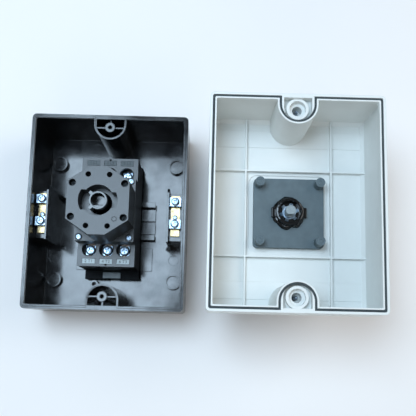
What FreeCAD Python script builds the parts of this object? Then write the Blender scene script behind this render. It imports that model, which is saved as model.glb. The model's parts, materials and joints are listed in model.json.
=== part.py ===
"""Enclosed rotary isolator, opened for wiring.

The base box stands on its back with the switch inside it.  The cover is turned over beside it and
stands face down on its knob.  Millimetres; origin at the middle of the four wall fixings on the back
face, +Z out of the wall, +Y up, +X to the right as the installer sees it.
"""
import FreeCAD, Part
import math
import os

V = FreeCAD.Vector

# ---- enclosure -------------------------------------------------------------------------------
box_half_width = 66.2        # outside of the base box, half of its width
box_half_height = 82.5       # half of its height
base_depth = 59.5            # back face to parting plane
cover_depth = 55.0           # parting plane to the cover's front face
cover_overhang = 0.3         # the cover stands this much proud of the base all round
rim_gap = 0.3                # closed joint between the two rims
corner_radius = 3.5          # upright corners of both halves
base_wall = 3.6
base_floor = 3.0
cover_wall = 3.0
cover_floor = 3.0
cover_lip = 4.9              # thickness of the cover's rim, which holds the seal groove
cover_lip_depth = 5.0
front_edge_radius = 3.0      # rounded edge of the cover's front
front_chamfer = 3.0          # inner corner between the cover's wall and floor

# ---- seal line: a rounded rectangle that runs round the inside of each screw column -------------
column_y = 74.5              # middle of each U-shaped screw column
column_radius = 13.6         # outside of the base's column
column_wall = 1.8
seal_inset = 1.9             # cover's outside to the seal groove
seal_width = 1.8
seal_depth = 2.2
seal_sunk = 0.6              # seal's face below the cover's rim
seal_fit = 0.1
cover_column_lip = 1.3       # cover's column outside the seal groove
tongue_height = 0.8          # ridge on the base's rim, which presses the seal
tongue_width = 1.3
column_tongue = 1.0          # its width round the columns
tongue_play = 0.3

# ---- cover screws ---------------------------------------------------------------------------
screw_y = 71.5
boss_radius = 4.15
boss_proud = 1.0             # tube's end above the base's rim
pilot_radius = 1.7
pilot_depth = 24.0
boss_rib = 1.2
cover_pocket_depth = 7.0     # pocket in the cover's rim, round its screw guide
cover_pocket_half = 10.6
cover_pocket_wall = 3.3      # left between the pocket and the cover's outside
guide_radius = 8.5
guide_step_radius = 6.3
guide_sunk = 2.6             # guide's end below the rim
guide_hole_radius = 3.75
guide_hole_depth = 9.0
screw_shank_radius = 1.6
screw_play = 0.35
screw_head_radius = 4.6
screw_head_height = 3.2
screw_recess_radius = 5.6
screw_recess_depth = 18.0
screw_travel = 12.0
washer_thickness = 1.2

# ---- wall fixings ----------------------------------------------------------------------------
fixing_x = 54.3              # half spacing
fixing_y = 54.1
fixing_tube_radius = 7.0
fixing_tube_bore = 5.5
fixing_tube_top = 8.0
fixing_hole_radius = 3.0     # open from the back, closed by a thin web that the screw breaks
fixing_web = 1.2
fixing_web_top = 5.6

# ---- cable entries: round knock-outs scored in the top and bottom walls -------------------------
knockout_x = 34.0
knockout_radius = 12.7
knockout_z = 30.0
knockout_score = 1.0
knockout_score_depth = 1.4
score_radius_inner = knockout_radius - knockout_score

# ---- moulded mounting rail -------------------------------------------------------------------
rail_y = 1.1                 # middle of the 35 mm profile
rail_width = 35.0
rail_half_length = 36.5
rail_top = 10.5
rail_lip = 1.0
rail_lip_reach = 3.2
rail_web = 1.5
rail_pad_top = 5.4
rail_pad_gap = 1.2
floor_pad_low = -44.5        # raised pad on the floor under the foot's lower end
floor_pad_high = -23.5
floor_pad_rise = 1.2
floor_pad_short = 2.0        # the pad stops this much inside the rail's ends

# ---- small marks on the box's floor --------------------------------------------------------------
floor_boss_place = (-16.1, -58.0)
floor_boss_radius = 3.6
floor_boss_bore = 1.9
floor_boss_top = 12.0
ejector_places = ((-20.6, 70.3), (54.2, 70.3), (-55.6, -34.0), (54.2, -34.0))
ejector_radius = 4.6
ejector_depth = 0.25

# ---- switch ------------------------------------------------------------------------------------
foot_half_width = 24.0
foot_low = -53.5
foot_high = 50.0
foot_top = 14.0
foot_clear = 0.3             # foot to rail and to floor
foot_hook_half = 18.0        # fixed hook over the rail's upper lip
foot_hook_reach = 2.2
foot_hook_root = 1.0
foot_hook_thickness = 2.3
housing_corner = 0.8         # upright corners of the switch's two tiers
tier_y = 0.8                 # middle of the terminal tier
tier_half_width = 23.9
tier_half_length = 46.7
tier_top = 49.7
mech_half_width = 24.3
mech_half_height = 26.8
mech_top = 65.0
front_top = 98.2             # octagonal front face
front_half_width = 23.95
front_half_height = 26.9
front_corner_x = 6.35
front_corner_y = 15.1
opening_radius = 12.0
lobe_radius = 15.1           # round ends of the opening's two side lobes
left_lobe_half = 7.8
right_lobe_half = 6.1
opening_depth = 13.0
rotor_hole_radius = 9.0
front_screw_x = 20.1
front_screw_y = 13.3
front_screw_hole = 2.75
front_screw_seat = 92.0
plain_hole_x = 8.2
plain_hole_y = 20.1
plain_hole_radius = 2.1
plain_hole_depth = 14.0
mech_screw_x = 20.4
mech_screw_y = 23.6
mech_screw_head_radius = 2.6
small_shank_radius = 1.4
small_head_height = 2.0
small_head_sunk = 1.2        # head's seat below the surface
mech_screw_depth = 8.0       # thread engaged below the joint
front_screw_depth = 7.0
long_head_height = 2.2
ring_mark_place = (13.2, -14.6)
ring_mark_radius = 2.0
ring_mark_line = 0.4
ring_mark_depth = 0.2

# ---- terminals and contacts ------------------------------------------------------------------
pole_pitch = 14.4
terminal_offset = 32.3       # terminal screws, each side of the tier's middle
well_radius = 6.2
well_depth = 9.0
terminal_head_radius = 4.3
terminal_head_height = 2.6
terminal_shank_radius = 1.9
clamp_half = 4.2             # square clamp washer, half of its side
clamp_corner = 1.2
clamp_thickness = 1.3
contact_width = 6.4
contact_thickness = 1.5
contact_tip = 9.3            # fixed contact's end, from the rotor's axis
contact_riser = 22.8         # where the contact turns up towards its terminal
pad_overrun = 4.6            # contact's pad beyond its terminal screw
deck_pitch = 8.6
first_deck = 18.6
contact_play = 0.25
entry_width = 11.4
entry_height = 6.0
screw_tip_depth = 19.0        # terminal screw's end below the tier's top
label_depth = 0.5
label_width = 10.8
label_height = 4.4
label_offset = 42.4
label_play = 0.2
label_proud = 0.1
test_hole_radius = 0.9       # small hole at each end of the tier
test_hole_edge = 1.5
test_hole_depth = 4.0

# ---- rotor -------------------------------------------------------------------------------------
cavity_radius = 14.6
chamber_floor = 1.2
chamber_roof = 2.0
shaft_passage = 5.4
disc_radius = 8.8
disc_thickness = 7.0
rotor_play = 0.3
shaft_half = 3.4             # square shaft
shaft_low = 15.4
shaft_high = 62.0
bridge_width = 10.0
bridge_gap = 0.35            # bridge's end to the fixed contact's tip
bridge_play = 0.7            # the bridge floats by this much in its slot
hub_radius = 7.0
hub_bore = 5.6
hub_top = 97.4
hub_low = 58.0
socket_low = 84.0
socket_flat = 3.4            # flat of the D-shaped socket, from the axis
ear_reach = 2.4
ear_width = 2.6
coil_radius = 12.0
coil_wire = 0.7
coil_turns = 4
coil_pitch = 2.0
coil_low = 53.0
mech_cavity_radius = 14.0
mech_skin = 1.8

# ---- DIN latch ---------------------------------------------------------------------------------
latch_half_width = 8.0
latch_low = -52.8
latch_high = -47.3
latch_tab = 1.6
latch_stem_half = 4.0
latch_hook = 3.0
latch_travel = 3.0
latch_play = 0.3
latch_grip = 1.8             # plate's end under the rail's lip
latch_room = 1.2

# ---- earth and neutral terminals beside the switch --------------------------------------------
side_plate_low = -24.6
side_plate_high = 21.8
side_plate_top = 54.5
side_plate_thickness = 1.7
side_plate_x = 50.0          # inner face of the upright plate
side_block_top = 42.0
side_block_inset = 2.6
gusset_reach = 3.4
gusset_height = 22.0
plate_notch = 5.0            # corner cut from the partition's top
bar_from_plate = 1.2
bar_low = -18.0
bar_high = 17.0
bar_width = 7.6
bar_thickness = 2.6
saddle_places = (11.0, -8.2)
saddle_length = 7.6
saddle_width = 9.8
saddle_thickness = 1.3
saddle_rise = 4.6
side_screw_radius = 3.5
side_screw_head = 2.5
side_shank_radius = 1.8
side_shank_length = 14.0
fixing_screw_y = -1.9
fixing_screw_head = 2.1
fixing_screw_rise = 1.6
fixing_shank_radius = 1.3
fixing_shank_length = 10.0
thread_hole_depth = 16.0
wall_clear = 0.25

# ---- cover's inside ----------------------------------------------------------------------------
rib_x = 35.4
rib_y = 35.9
rib_thickness = 1.5
rib_height = 4.0
pocket_half = 32.6
pocket_corner = 7.0
pocket_sunk = 0.8
floor_step_y = 56.5
floor_step = 0.3

# ---- handle ------------------------------------------------------------------------------------
plate_half = 28.85
plate_corner = 3.5
plate_thickness = 5.8
post_x = 24.35
post_y = 24.0
post_radius = 3.85
post_length = 10.2
post_dimple = 1.4
escutcheon_half = 33.0
escutcheon_corner = 5.0
escutcheon_thickness = 6.0
stud_place = 19.0            # studs that join plate and escutcheon, from the axis
stud_radius = 1.6
stud_play = 0.3
stud_in_plate = 4.0
stud_in_escutcheon = 4.4
shaft_hole_radius = 9.2
stem_radius = 8.9
seal_ring_radius = 12.5
seal_ring_height = 1.6
hub_head_radius = 11.3
hub_head_bore = 8.8
hub_head_height = 7.4
hub_head_web = 1.8
wing_radius = 14.4
wing_half_width = 4.2
wing_height = 2.8
turn_play = 0.3
pin_radius = 4.2
pin_flat = 3.2
pin_engaged = 3.6            # pin's end inside the rotor's socket, cover closed
pin_flat_length = 7.0
pin_in_knob = 26.0
spider_radius = 7.6
spider_arms = 6
spider_arm_half = 1.1
spider_thickness = 1.5
knob_disc_radius = 28.0
knob_disc_height = 11.0
knob_height = 52.1
grip_half_length = 29.5
grip_half_width = 8.5
grip_top_half_width = 6.6
knob_edge = 2.0
slider_half_width = 5.0
slider_thickness = 3.6
slider_inner = 7.0
slider_back = 0.8            # slider's end inside the knob's rim
slider_low = 3.4             # above the knob's underside
slider_play = 0.3
slider_travel = 9.0
shackle_radius = 3.3
shackle_edge = 5.0
grip_grooves = 5
grip_groove_pitch = 9.0
grip_groove_radius = 2.6
grip_groove_out = 1.2
grip_groove_foot = 8.0

# ---- where the turned-over cover lies ----------------------------------------------------------
halves_apart = 18.0          # clear space between the base and the cover

seal_bend = column_radius - column_tongue - tongue_play   # groove's inner edge round a column
cover_column_radius = seal_bend + seal_width + cover_column_lip
half_w = box_half_width + cover_overhang
half_h = box_half_height + cover_overhang
cover_spacing = box_half_width + halves_apart + half_w    # base's middle to cover's middle
cover_rim = base_depth + rim_gap
cover_front = cover_rim + cover_depth
cover_inside = cover_front - cover_floor
plate_face = cover_inside - plate_thickness + pocket_sunk
knob_under = cover_front + escutcheon_thickness + turn_play
knob_top = knob_under + knob_height
pin_reach = plate_face - hub_top + pin_engaged     # pin's end, from the backing plate's face
slider_outer = knob_disc_radius - slider_back
turn_x = cover_spacing / 2
turn_z = knob_top / 2        # the knob's top lies on the plane that the base stands on


# ---- plain shapes --------------------------------------------------------------------------------
def block(x0, x1, y0, y1, z0, z1):
    """Box between two corners, given as low and high along each axis."""
    return Part.makeBox(x1 - x0, y1 - y0, z1 - z0, V(x0, y0, z0))


def drum(x, y, z0, z1, radius):
    """Upright cylinder."""
    return Part.makeCylinder(radius, z1 - z0, V(x, y, z0))


def prism(points, z0, z1):
    """Upright prism on a polygon of (x, y) points."""
    corners = [V(x, y, z0) for x, y in points]
    face = Part.Face(Part.makePolygon(corners + corners[:1]))
    return face.extrude(V(0, 0, z1 - z0))


def union(shapes):
    """All shapes joined, with coplanar faces merged."""
    whole = shapes[0]
    if len(shapes) > 1:
        whole = whole.fuse(shapes[1:])
    return whole.removeSplitter()


def rounded(half_x, half_y, z0, z1, radius, x=0.0, y=0.0):
    """Upright block with rounded corners, centred on x, y."""
    solid = block(x - half_x, x + half_x, y - half_y, y + half_y, z0, z1)
    upright = [e for e in solid.Edges if abs(e.Vertexes[0].Z - e.Vertexes[1].Z) > 1e-6]
    return solid.makeFillet(min(radius, half_x - 0.1, half_y - 0.1), upright)


def save(name, shape):
    """Write one node; a group of separate pieces is written as a compound."""
    shape.exportStep("parts/" + name + ".step")


def save_open(name, shape):
    """Write a node of the cover side, turned over beside the base."""
    turned = shape.copy()
    turned.rotate(V(turn_x, 0, turn_z), V(0, 1, 0), 180)
    save(name, turned)


def pan_screw(x, y, head_low, head_radius, head_height, shank_radius, shank_low):
    """Pan-head screw pointing down, with a cross recess in its head."""
    head = drum(x, y, head_low, head_low + head_height, head_radius)
    rim = [e for e in head.Edges if abs(e.BoundBox.ZMin - head_low - head_height) < 1e-6]
    head = head.makeFillet(head_height * 0.45, rim)
    shank = drum(x, y, shank_low, head_low, shank_radius)
    arm = head_radius * 0.55
    slot = head_radius * 0.13
    top = head_low + head_height
    floor = top - head_height * 0.6
    cross = union([block(x - arm, x + arm, y - slot, y + slot, floor, top + 1),
                   block(x - slot, x + slot, y - arm, y + arm, floor, top + 1)])
    return union([head, shank]).cut(cross)


# ---- enclosure -------------------------------------------------------------------------------
def seal_region(wide, high, inset, bend, z0, z1):
    """Space inside the seal line: a rounded rectangle less the two U-shaped screw columns."""
    half_y = high - inset
    region = rounded(wide - inset, half_y, z0, z1, max(corner_radius - inset, 1.0))
    columns = []
    for side in (1, -1):
        columns.append(drum(0, side * column_y, z0, z1, bend))
        low, high_end = sorted((side * column_y, side * (high + 1)))
        columns.append(block(-bend, bend, low, high_end, z0, z1))
    return region.cut(union(columns[:2])).cut(union(columns[2:]))


def u_space(side, middle_y, half_width, wall_face, z0, z1):
    """U-shaped space at one end of the box: half round inwards, straight to the wall's face."""
    low, high_end = sorted((side * middle_y, side * wall_face))
    space = union([drum(0, side * middle_y, z0, z1, half_width),
                   block(-half_width, half_width, low, high_end, z0, z1)])
    low, high_end = sorted((side * (middle_y - half_width - 1), side * wall_face))
    return space.common(block(-half_width - 1, half_width + 1, low, high_end, z0, z1))


def tongue():
    """Ridge along the base's rim that sits in the seal groove."""
    outer = seal_inset - cover_overhang + tongue_play
    bend = column_radius - column_tongue
    top = base_depth + tongue_height
    ring = seal_region(box_half_width, box_half_height, outer, bend, base_depth - 1, top)
    inside = seal_region(box_half_width, box_half_height, outer + tongue_width, column_radius,
                         base_depth - 2, top + 1)
    return ring.cut(inside)


def screw_boss(side):
    """Tube that takes a cover screw, with its ribs to the column's walls."""
    y = side * screw_y
    inner = column_radius - column_wall
    wall_face = box_half_height - base_wall
    rib_top = base_depth - 0.8
    pieces = [drum(0, y, base_floor, base_depth + boss_proud, boss_radius)]
    reach = math.sqrt(inner ** 2 - (column_y - screw_y) ** 2) + 0.5
    pieces.append(block(-reach, reach, y - boss_rib / 2, y + boss_rib / 2, base_floor, rib_top))
    low, high_end = sorted((y, side * (wall_face + 0.5)))
    pieces.append(block(-boss_rib / 2, boss_rib / 2, low, high_end, base_floor, rib_top - 2))
    return pieces


def rail():
    """Moulded 35 mm top-hat profile on the box's floor."""
    length = rail_half_length
    pieces = []
    for side in (1, -1):
        edge = rail_y + side * rail_width / 2
        web = edge - side * rail_lip_reach
        lip_low, lip_high = sorted((edge, web - side * rail_web))
        web_low, web_high = sorted((web, web - side * rail_web))
        pieces.append(block(-length, length, lip_low, lip_high, rail_top - rail_lip, rail_top))
        pieces.append(block(-length, length, web_low, web_high, base_floor - 0.5, rail_top))
        pad_out = rail_width / 2 - rail_lip_reach - rail_web - rail_pad_gap
        pad_low, pad_high = sorted((rail_y + side * rail_pad_gap / 2, rail_y + side * pad_out))
        pieces.append(block(-length, length, pad_low, pad_high, base_floor - 0.5, rail_pad_top))
    short = length - floor_pad_short
    pieces.append(block(-short, short, floor_pad_low, floor_pad_high, base_floor - 0.5,
                        base_floor + floor_pad_rise))
    return pieces


def base_box():
    """Deep black box: walls, two screw columns, wall-fixing tubes, rail and floor details."""
    shell = rounded(box_half_width, box_half_height, 0, base_depth, corner_radius)
    shell = shell.cut(seal_region(box_half_width, box_half_height, base_wall, column_radius,
                                  base_floor, base_depth + 1))
    wall_face = box_half_height - base_wall
    for side in (1, -1):
        shell = shell.cut(u_space(side, column_y, column_radius - column_wall, wall_face,
                                  base_floor, base_depth + 1))
    pieces = [shell, tongue()] + screw_boss(1) + screw_boss(-1) + rail()
    tubes = [(sx * fixing_x, sy * fixing_y) for sx in (1, -1) for sy in (1, -1)]
    for x, y in tubes:
        pieces.append(drum(x, y, base_floor - 0.5, fixing_tube_top, fixing_tube_radius))
    boss_x, boss_y = floor_boss_place
    pieces.append(drum(boss_x, boss_y, base_floor - 0.5, floor_boss_top, floor_boss_radius))
    body = union(pieces)
    cuts = []
    for x, y in tubes:
        cuts.append(drum(x, y, fixing_web_top, fixing_tube_top + 1, fixing_tube_bore))
        cuts.append(drum(x, y, -1, fixing_web_top - fixing_web, fixing_hole_radius))
    for side in (1, -1):
        top = base_depth + boss_proud
        cuts.append(drum(0, side * screw_y, top - pilot_depth, top + 1, pilot_radius))
    cuts.append(drum(boss_x, boss_y, base_floor + 1, floor_boss_top + 1, floor_boss_bore))
    for x, y in ejector_places:
        cuts.append(drum(x, y, base_floor - ejector_depth, base_floor + 1, ejector_radius))
    cuts += knockout_scores()
    return body.cut(cuts)


def knockout_scores():
    """Ring-shaped scores that mark the break-out cable entries, from outside."""
    scores = []
    for side in (1, -1):
        face = side * box_half_height
        start = face + side * 0.5
        for x in (-knockout_x, knockout_x):
            place = V(x, start, knockout_z)
            towards = V(0, -side, 0)
            depth = knockout_score_depth + 0.5
            ring = Part.makeCylinder(knockout_radius, depth, place, towards)
            scores.append(ring.cut(Part.makeCylinder(score_radius_inner, depth, place, towards)))
    return scores


def cover_shell():
    """Light grey cover: walls, rim with seal groove, screw columns, floor ribs and pocket."""
    shell = rounded(half_w, half_h, cover_rim, cover_front, corner_radius)
    front = [e for e in shell.Edges if e.BoundBox.ZMin > cover_front - 0.01]
    shell = shell.makeFillet(front_edge_radius, front)
    bend = cover_column_radius
    lip_top = cover_rim + cover_lip_depth
    cavity = seal_region(half_w, half_h, cover_lip, bend, cover_rim - 1, lip_top + 0.1)
    deep = seal_region(half_w, half_h, cover_wall, bend, lip_top, cover_inside)
    shell = shell.cut([cavity, deep])
    body = union([shell] + wall_chamfers() + floor_ribs())
    groove = seal_region(half_w, half_h, seal_inset, seal_bend,
                         cover_rim - 1, cover_rim + seal_depth)
    groove = groove.cut(seal_region(half_w, half_h, seal_inset + seal_width, seal_bend + seal_width,
                                    cover_rim - 2, cover_rim + seal_depth + 1))
    cuts = [groove]
    cuts.append(rounded(pocket_half, pocket_half, cover_inside - 1, cover_inside + pocket_sunk,
                        pocket_corner))
    cuts.append(drum(0, 0, cover_inside - 1, cover_front + 1, shaft_hole_radius))
    for x, y in stud_places():
        cuts.append(drum(x, y, cover_inside - 1, cover_front + 1, stud_radius + stud_play))
    body = body.cut(cuts)
    for side in (1, -1):
        body = body.cut(guide_space(side)).fuse(guide_ring(side)).cut(guide_bore(side))
    return body.removeSplitter()


def wall_chamfers():
    """Sloping fillets between the cover's long and short walls and its floor."""
    pieces = []
    top = cover_inside
    for side in (1, -1):
        x = side * (half_w - cover_wall)
        y = side * (half_h - cover_wall)
        long_way = [V(x, -half_h + cover_wall, top), V(x, -half_h + cover_wall, top - front_chamfer),
                    V(x - side * front_chamfer, -half_h + cover_wall, top)]
        short_way = [V(-half_w + cover_wall, y, top), V(-half_w + cover_wall, y, top - front_chamfer),
                     V(-half_w + cover_wall, y - side * front_chamfer, top)]
        for corner, run in ((long_way, V(0, 2 * (half_h - cover_wall), 0)),
                            (short_way, V(2 * (half_w - cover_wall), 0, 0))):
            face = Part.Face(Part.makePolygon(corner + corner[:1]))
            pieces.append(face.extrude(run))
    return pieces


def floor_ribs():
    """Two upright and two level ribs on the cover's floor, and the stepped floor ends."""
    low = cover_inside - rib_height
    top = cover_inside + 0.5
    ends_y = column_y - column_radius
    wide = half_w - cover_wall
    high = half_h - cover_wall
    half = rib_thickness / 2
    pieces = []
    for side in (1, -1):
        x = side * rib_x
        y = side * rib_y
        pieces.append(block(x - half, x + half, -high, high, low, top))
        pieces.append(block(-wide, wide, y - half, y + half, low, top))
        step_low, step_high = sorted((side * floor_step_y, side * (ends_y + 10)))
        pieces.append(block(-wide, wide, step_low, step_high, cover_inside - floor_step, top))
    return pieces


def guide_space(side):
    """Pocket in the cover's rim around one screw guide."""
    return u_space(side, screw_y, cover_pocket_half, half_h - cover_pocket_wall,
                   cover_rim - 1, cover_rim + cover_pocket_depth)


def guide_ring(side):
    """Stepped ring that centres on the base's screw tube, with a rib to the end wall."""
    y = side * screw_y
    low = cover_rim + guide_sunk
    top = cover_rim + cover_pocket_depth + 0.5
    wall = side * (half_h - cover_pocket_wall + 0.5)
    rib_low, rib_high = sorted((y + side * guide_step_radius, wall))
    ring = drum(0, y, low, top, guide_radius)
    rib = block(-0.7, 0.7, rib_low, rib_high, low + 0.6, top)
    return union([ring, rib])


def guide_bore(side):
    """Stepped bore through one screw column, open at the cover's front."""
    y = side * screw_y
    low = cover_rim
    step = low + cover_pocket_depth
    waist = step + guide_hole_depth
    head_seat = cover_front - screw_recess_depth
    return union([drum(0, y, low - 1, step, guide_step_radius),
                  drum(0, y, step - 1, waist, guide_hole_radius),
                  drum(0, y, waist - 1, head_seat + 1, screw_shank_radius + screw_play),
                  drum(0, y, head_seat, cover_front + 1, screw_recess_radius)])


def cover_gasket():
    """Rubber cord in the cover's groove."""
    low = cover_rim + seal_sunk
    top = cover_rim + seal_depth
    inset = seal_inset + seal_fit
    width = seal_width - 2 * seal_fit
    bend = seal_bend + seal_fit
    cord = seal_region(half_w, half_h, inset, bend, low, top)
    return cord.cut(seal_region(half_w, half_h, inset + width, bend + width, low - 1, top + 1))


def cover_screw(side):
    """Captive screw of the cover, drawn back into its column."""
    seat = cover_front - screw_recess_depth
    tip = cover_rim + cover_pocket_depth + 1.0
    head = seat + screw_travel + washer_thickness
    return pan_screw(0, side * screw_y, head, screw_head_radius, screw_head_height,
                     screw_shank_radius, tip)


def cover_screw_seal(side):
    """Rubber washer under one cover screw's head."""
    low = cover_front - screw_recess_depth + screw_travel
    top = low + washer_thickness
    ring = drum(0, side * screw_y, low, top, screw_head_radius - 0.3)
    return ring.cut(drum(0, side * screw_y, low - 1, top + 1, screw_shank_radius))


# ---- switch ------------------------------------------------------------------------------------
def mounting_foot():
    """Foot that straddles the rail and carries the switch."""
    low = base_floor + foot_clear
    body = block(-foot_half_width, foot_half_width, foot_low, foot_high, low, foot_top)
    pad = block(-foot_half_width - 1, foot_half_width + 1, floor_pad_low - foot_clear,
                floor_pad_high + foot_clear, low - 1, base_floor + floor_pad_rise + foot_clear)
    edge = rail_width / 2 + latch_travel + latch_room
    channel = block(-foot_half_width - 1, foot_half_width + 1, rail_y - edge,
                    rail_y + rail_width / 2 + foot_clear, low - 1, rail_top + foot_clear)
    lip_under = rail_top - rail_lip - foot_clear
    hook = block(-foot_hook_half, foot_hook_half, rail_y + rail_width / 2 - foot_hook_reach,
                 rail_y + rail_width / 2 + foot_hook_root, lip_under - foot_hook_thickness, lip_under)
    body = body.cut([pad, channel]).fuse(hook)
    travel = latch_travel + latch_play
    slot = block(-latch_stem_half - latch_play, latch_stem_half + latch_play,
                 latch_low + 1 - travel, latch_high - 1 + latch_play, low - 1, foot_top + 1)
    tunnel = block(-latch_half_width - latch_play, latch_half_width + latch_play,
                   foot_low - 1, rail_y - rail_width / 2, low - 1, rail_top - rail_lip + 1.5)
    return body.cut([slot, tunnel]).removeSplitter()


def din_latch():
    """Sliding latch under the rail's lower lip, with the finger tab that shows below the switch."""
    top = foot_top + latch_play + latch_tab
    plate_top = rail_top - rail_lip - latch_play
    plate_low = plate_top - latch_hook
    tab = block(-latch_half_width, latch_half_width, latch_low, latch_high, foot_top + latch_play, top)
    stem = block(-latch_stem_half, latch_stem_half, latch_low + 1, latch_high - 1, plate_low, top)
    plate = block(-latch_half_width, latch_half_width, latch_low + 1,
                  rail_y - rail_width / 2 + latch_grip, plate_low, plate_top)
    return union([tab, stem, plate])


def pole_x(pole):
    """Where a pole's terminal stands, for poles 0, 1 and 2."""
    return (pole - 1) * pole_pitch


def terminal_places():
    """All six terminals: pole and end."""
    return [(pole, end) for end in (1, -1) for pole in range(3)]


def terminal_floor():
    """Height of the clamp's seat in a terminal well."""
    return tier_top - well_depth


def contact_strip(pole, end, grow):
    """Fixed contact: a blade at its deck's level, a riser and a pad under the terminal screw."""
    z = first_deck + deck_pitch * pole
    half = contact_width / 2 + 2.5 * grow
    x = pole_x(pole)
    tip = contact_tip - grow
    bend = contact_riser
    pad_top = terminal_floor() - clamp_thickness
    pad_end = terminal_offset + end * tier_y + pad_overrun + grow
    blade = prism([(-half, tip), (half, tip), (half, tip + 5), (x + half, bend - 2),
                   (x + half, bend + contact_thickness + grow),
                   (x - half, bend + contact_thickness + grow), (x - half, bend - 2),
                   (-half, tip + 5)], z - grow, z + contact_thickness + grow)
    riser = block(x - half, x + half, bend - grow, bend + contact_thickness + grow, z - grow,
                  pad_top + grow)
    pad = block(x - half, x + half, bend - grow, pad_end, pad_top - contact_thickness - grow,
                pad_top + grow)
    strip = union([blade, riser, pad])
    if end < 0:
        strip = strip.mirror(V(0, 0, 0), V(0, 1, 0))
    return strip


def fixed_contact(pole, end):
    """Fixed contact with the tapped hole for its terminal screw."""
    strip = contact_strip(pole, end, 0.0)
    y = tier_y + end * terminal_offset
    hole = drum(pole_x(pole), y, first_deck, tier_top, terminal_shank_radius + 0.05)
    return strip.cut(hole)


def switch_housing():
    """Terminal tier: one block with six screw wells, cable entries and the contact chamber."""
    low = tier_y - tier_half_length
    high = tier_y + tier_half_length
    body = block(-tier_half_width, tier_half_width, low, high, foot_top, tier_top)
    upright = [e for e in body.Edges if abs(e.Vertexes[0].Z - e.Vertexes[1].Z) > 1e-6]
    body = body.makeFillet(housing_corner, upright)
    chamber = drum(0, 0, foot_top + chamber_floor, tier_top - chamber_roof, cavity_radius)
    cuts = [chamber, drum(0, 0, tier_top - chamber_roof - 1, tier_top + 1, shaft_passage)]
    for pole, end in terminal_places():
        x = pole_x(pole)
        y = tier_y + end * terminal_offset
        cuts.append(drum(x, y, terminal_floor() - clamp_thickness, tier_top + 1, well_radius))
        cuts.append(contact_strip(pole, end, contact_play))
        cuts.append(drum(x, y, tier_top - screw_tip_depth - 1, tier_top, terminal_shank_radius + 0.4))
        inner, outer = sorted((y - end * 5.5, tier_y + end * (tier_half_length + 1)))
        entry_low = terminal_floor() - clamp_thickness
        cuts.append(block(x - entry_width / 2, x + entry_width / 2, inner, outer,
                          entry_low, entry_low + entry_height))
        label_y = tier_y + end * label_offset
        cuts.append(block(x - label_width / 2, x + label_width / 2, label_y - label_height / 2,
                          label_y + label_height / 2, tier_top - label_depth, tier_top + 1))
    for end in (1, -1):
        cuts.append(drum(0, tier_y + end * (tier_half_length - test_hole_edge),
                         tier_top - test_hole_depth, tier_top + 1, test_hole_radius))
    for x in (-mech_screw_x, mech_screw_x):
        for y in (-mech_screw_y, mech_screw_y):
            cuts.append(drum(x, y, tier_top - mech_screw_depth - 1, tier_top + 1,
                             small_shank_radius))
    return body.cut(cuts)


def terminal_screws():
    """Six cross-recess terminal screws."""
    pieces = []
    for pole, end in terminal_places():
        y = tier_y + end * terminal_offset
        seat = terminal_floor() + clamp_thickness
        pieces.append(pan_screw(pole_x(pole), y, seat, terminal_head_radius, terminal_head_height,
                                terminal_shank_radius, tier_top - screw_tip_depth))
    return Part.makeCompound(pieces)


def terminal_clamps():
    """Six square clamp washers with turned-down edges."""
    pieces = []
    seat = terminal_floor()
    for pole, end in terminal_places():
        x = pole_x(pole)
        y = tier_y + end * terminal_offset
        plate = rounded(clamp_half, clamp_half, seat, seat + clamp_thickness, clamp_corner, x, y)
        pieces.append(plate.cut(drum(x, y, seat - 1, seat + 3, terminal_shank_radius)))
    return Part.makeCompound(pieces)


def marker_strip(end):
    """Pale marker plates in the recesses beside the wells of one end."""
    pieces = []
    y = tier_y + end * label_offset
    half_x = label_width / 2 - label_play
    half_y = label_height / 2 - label_play
    for pole in range(3):
        x = pole_x(pole)
        pieces.append(block(x - half_x, x + half_x, y - half_y, y + half_y,
                            tier_top - label_depth, tier_top + label_proud))
    return Part.makeCompound(pieces)


def mechanism_housing():
    """Middle tier with the snap mechanism's chamber."""
    body = block(-mech_half_width, mech_half_width, -mech_half_height, mech_half_height,
                 tier_top, mech_top)
    upright = [e for e in body.Edges if abs(e.Vertexes[0].Z - e.Vertexes[1].Z) > 1e-6]
    body = body.makeFillet(housing_corner, upright)
    cuts = [drum(0, 0, tier_top + mech_skin, mech_top - mech_skin, mech_cavity_radius),
            drum(0, 0, tier_top - 1, mech_top + 1, rotor_hole_radius)]
    for x in (-mech_screw_x, mech_screw_x):
        for y in (-mech_screw_y, mech_screw_y):
            cuts.append(drum(x, y, tier_top - 1, mech_top + 1, small_shank_radius + 0.2))
            cuts.append(drum(x, y, mech_top - small_head_sunk, mech_top + 1,
                             mech_screw_head_radius + 0.4))
    for x in (-front_screw_x, front_screw_x):
        for y in (-front_screw_y, front_screw_y):
            cuts.append(drum(x, y, mech_top - front_screw_depth - 1, mech_top + 1,
                             small_shank_radius))
    return body.cut(cuts)


def mechanism_screws():
    """Four small screws that hold the middle tier to the terminal tier."""
    pieces = []
    for x in (-mech_screw_x, mech_screw_x):
        for y in (-mech_screw_y, mech_screw_y):
            pieces.append(pan_screw(x, y, mech_top - small_head_sunk, mech_screw_head_radius,
                                    small_head_height, small_shank_radius,
                                    tier_top - mech_screw_depth))
    return Part.makeCompound(pieces)


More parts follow.
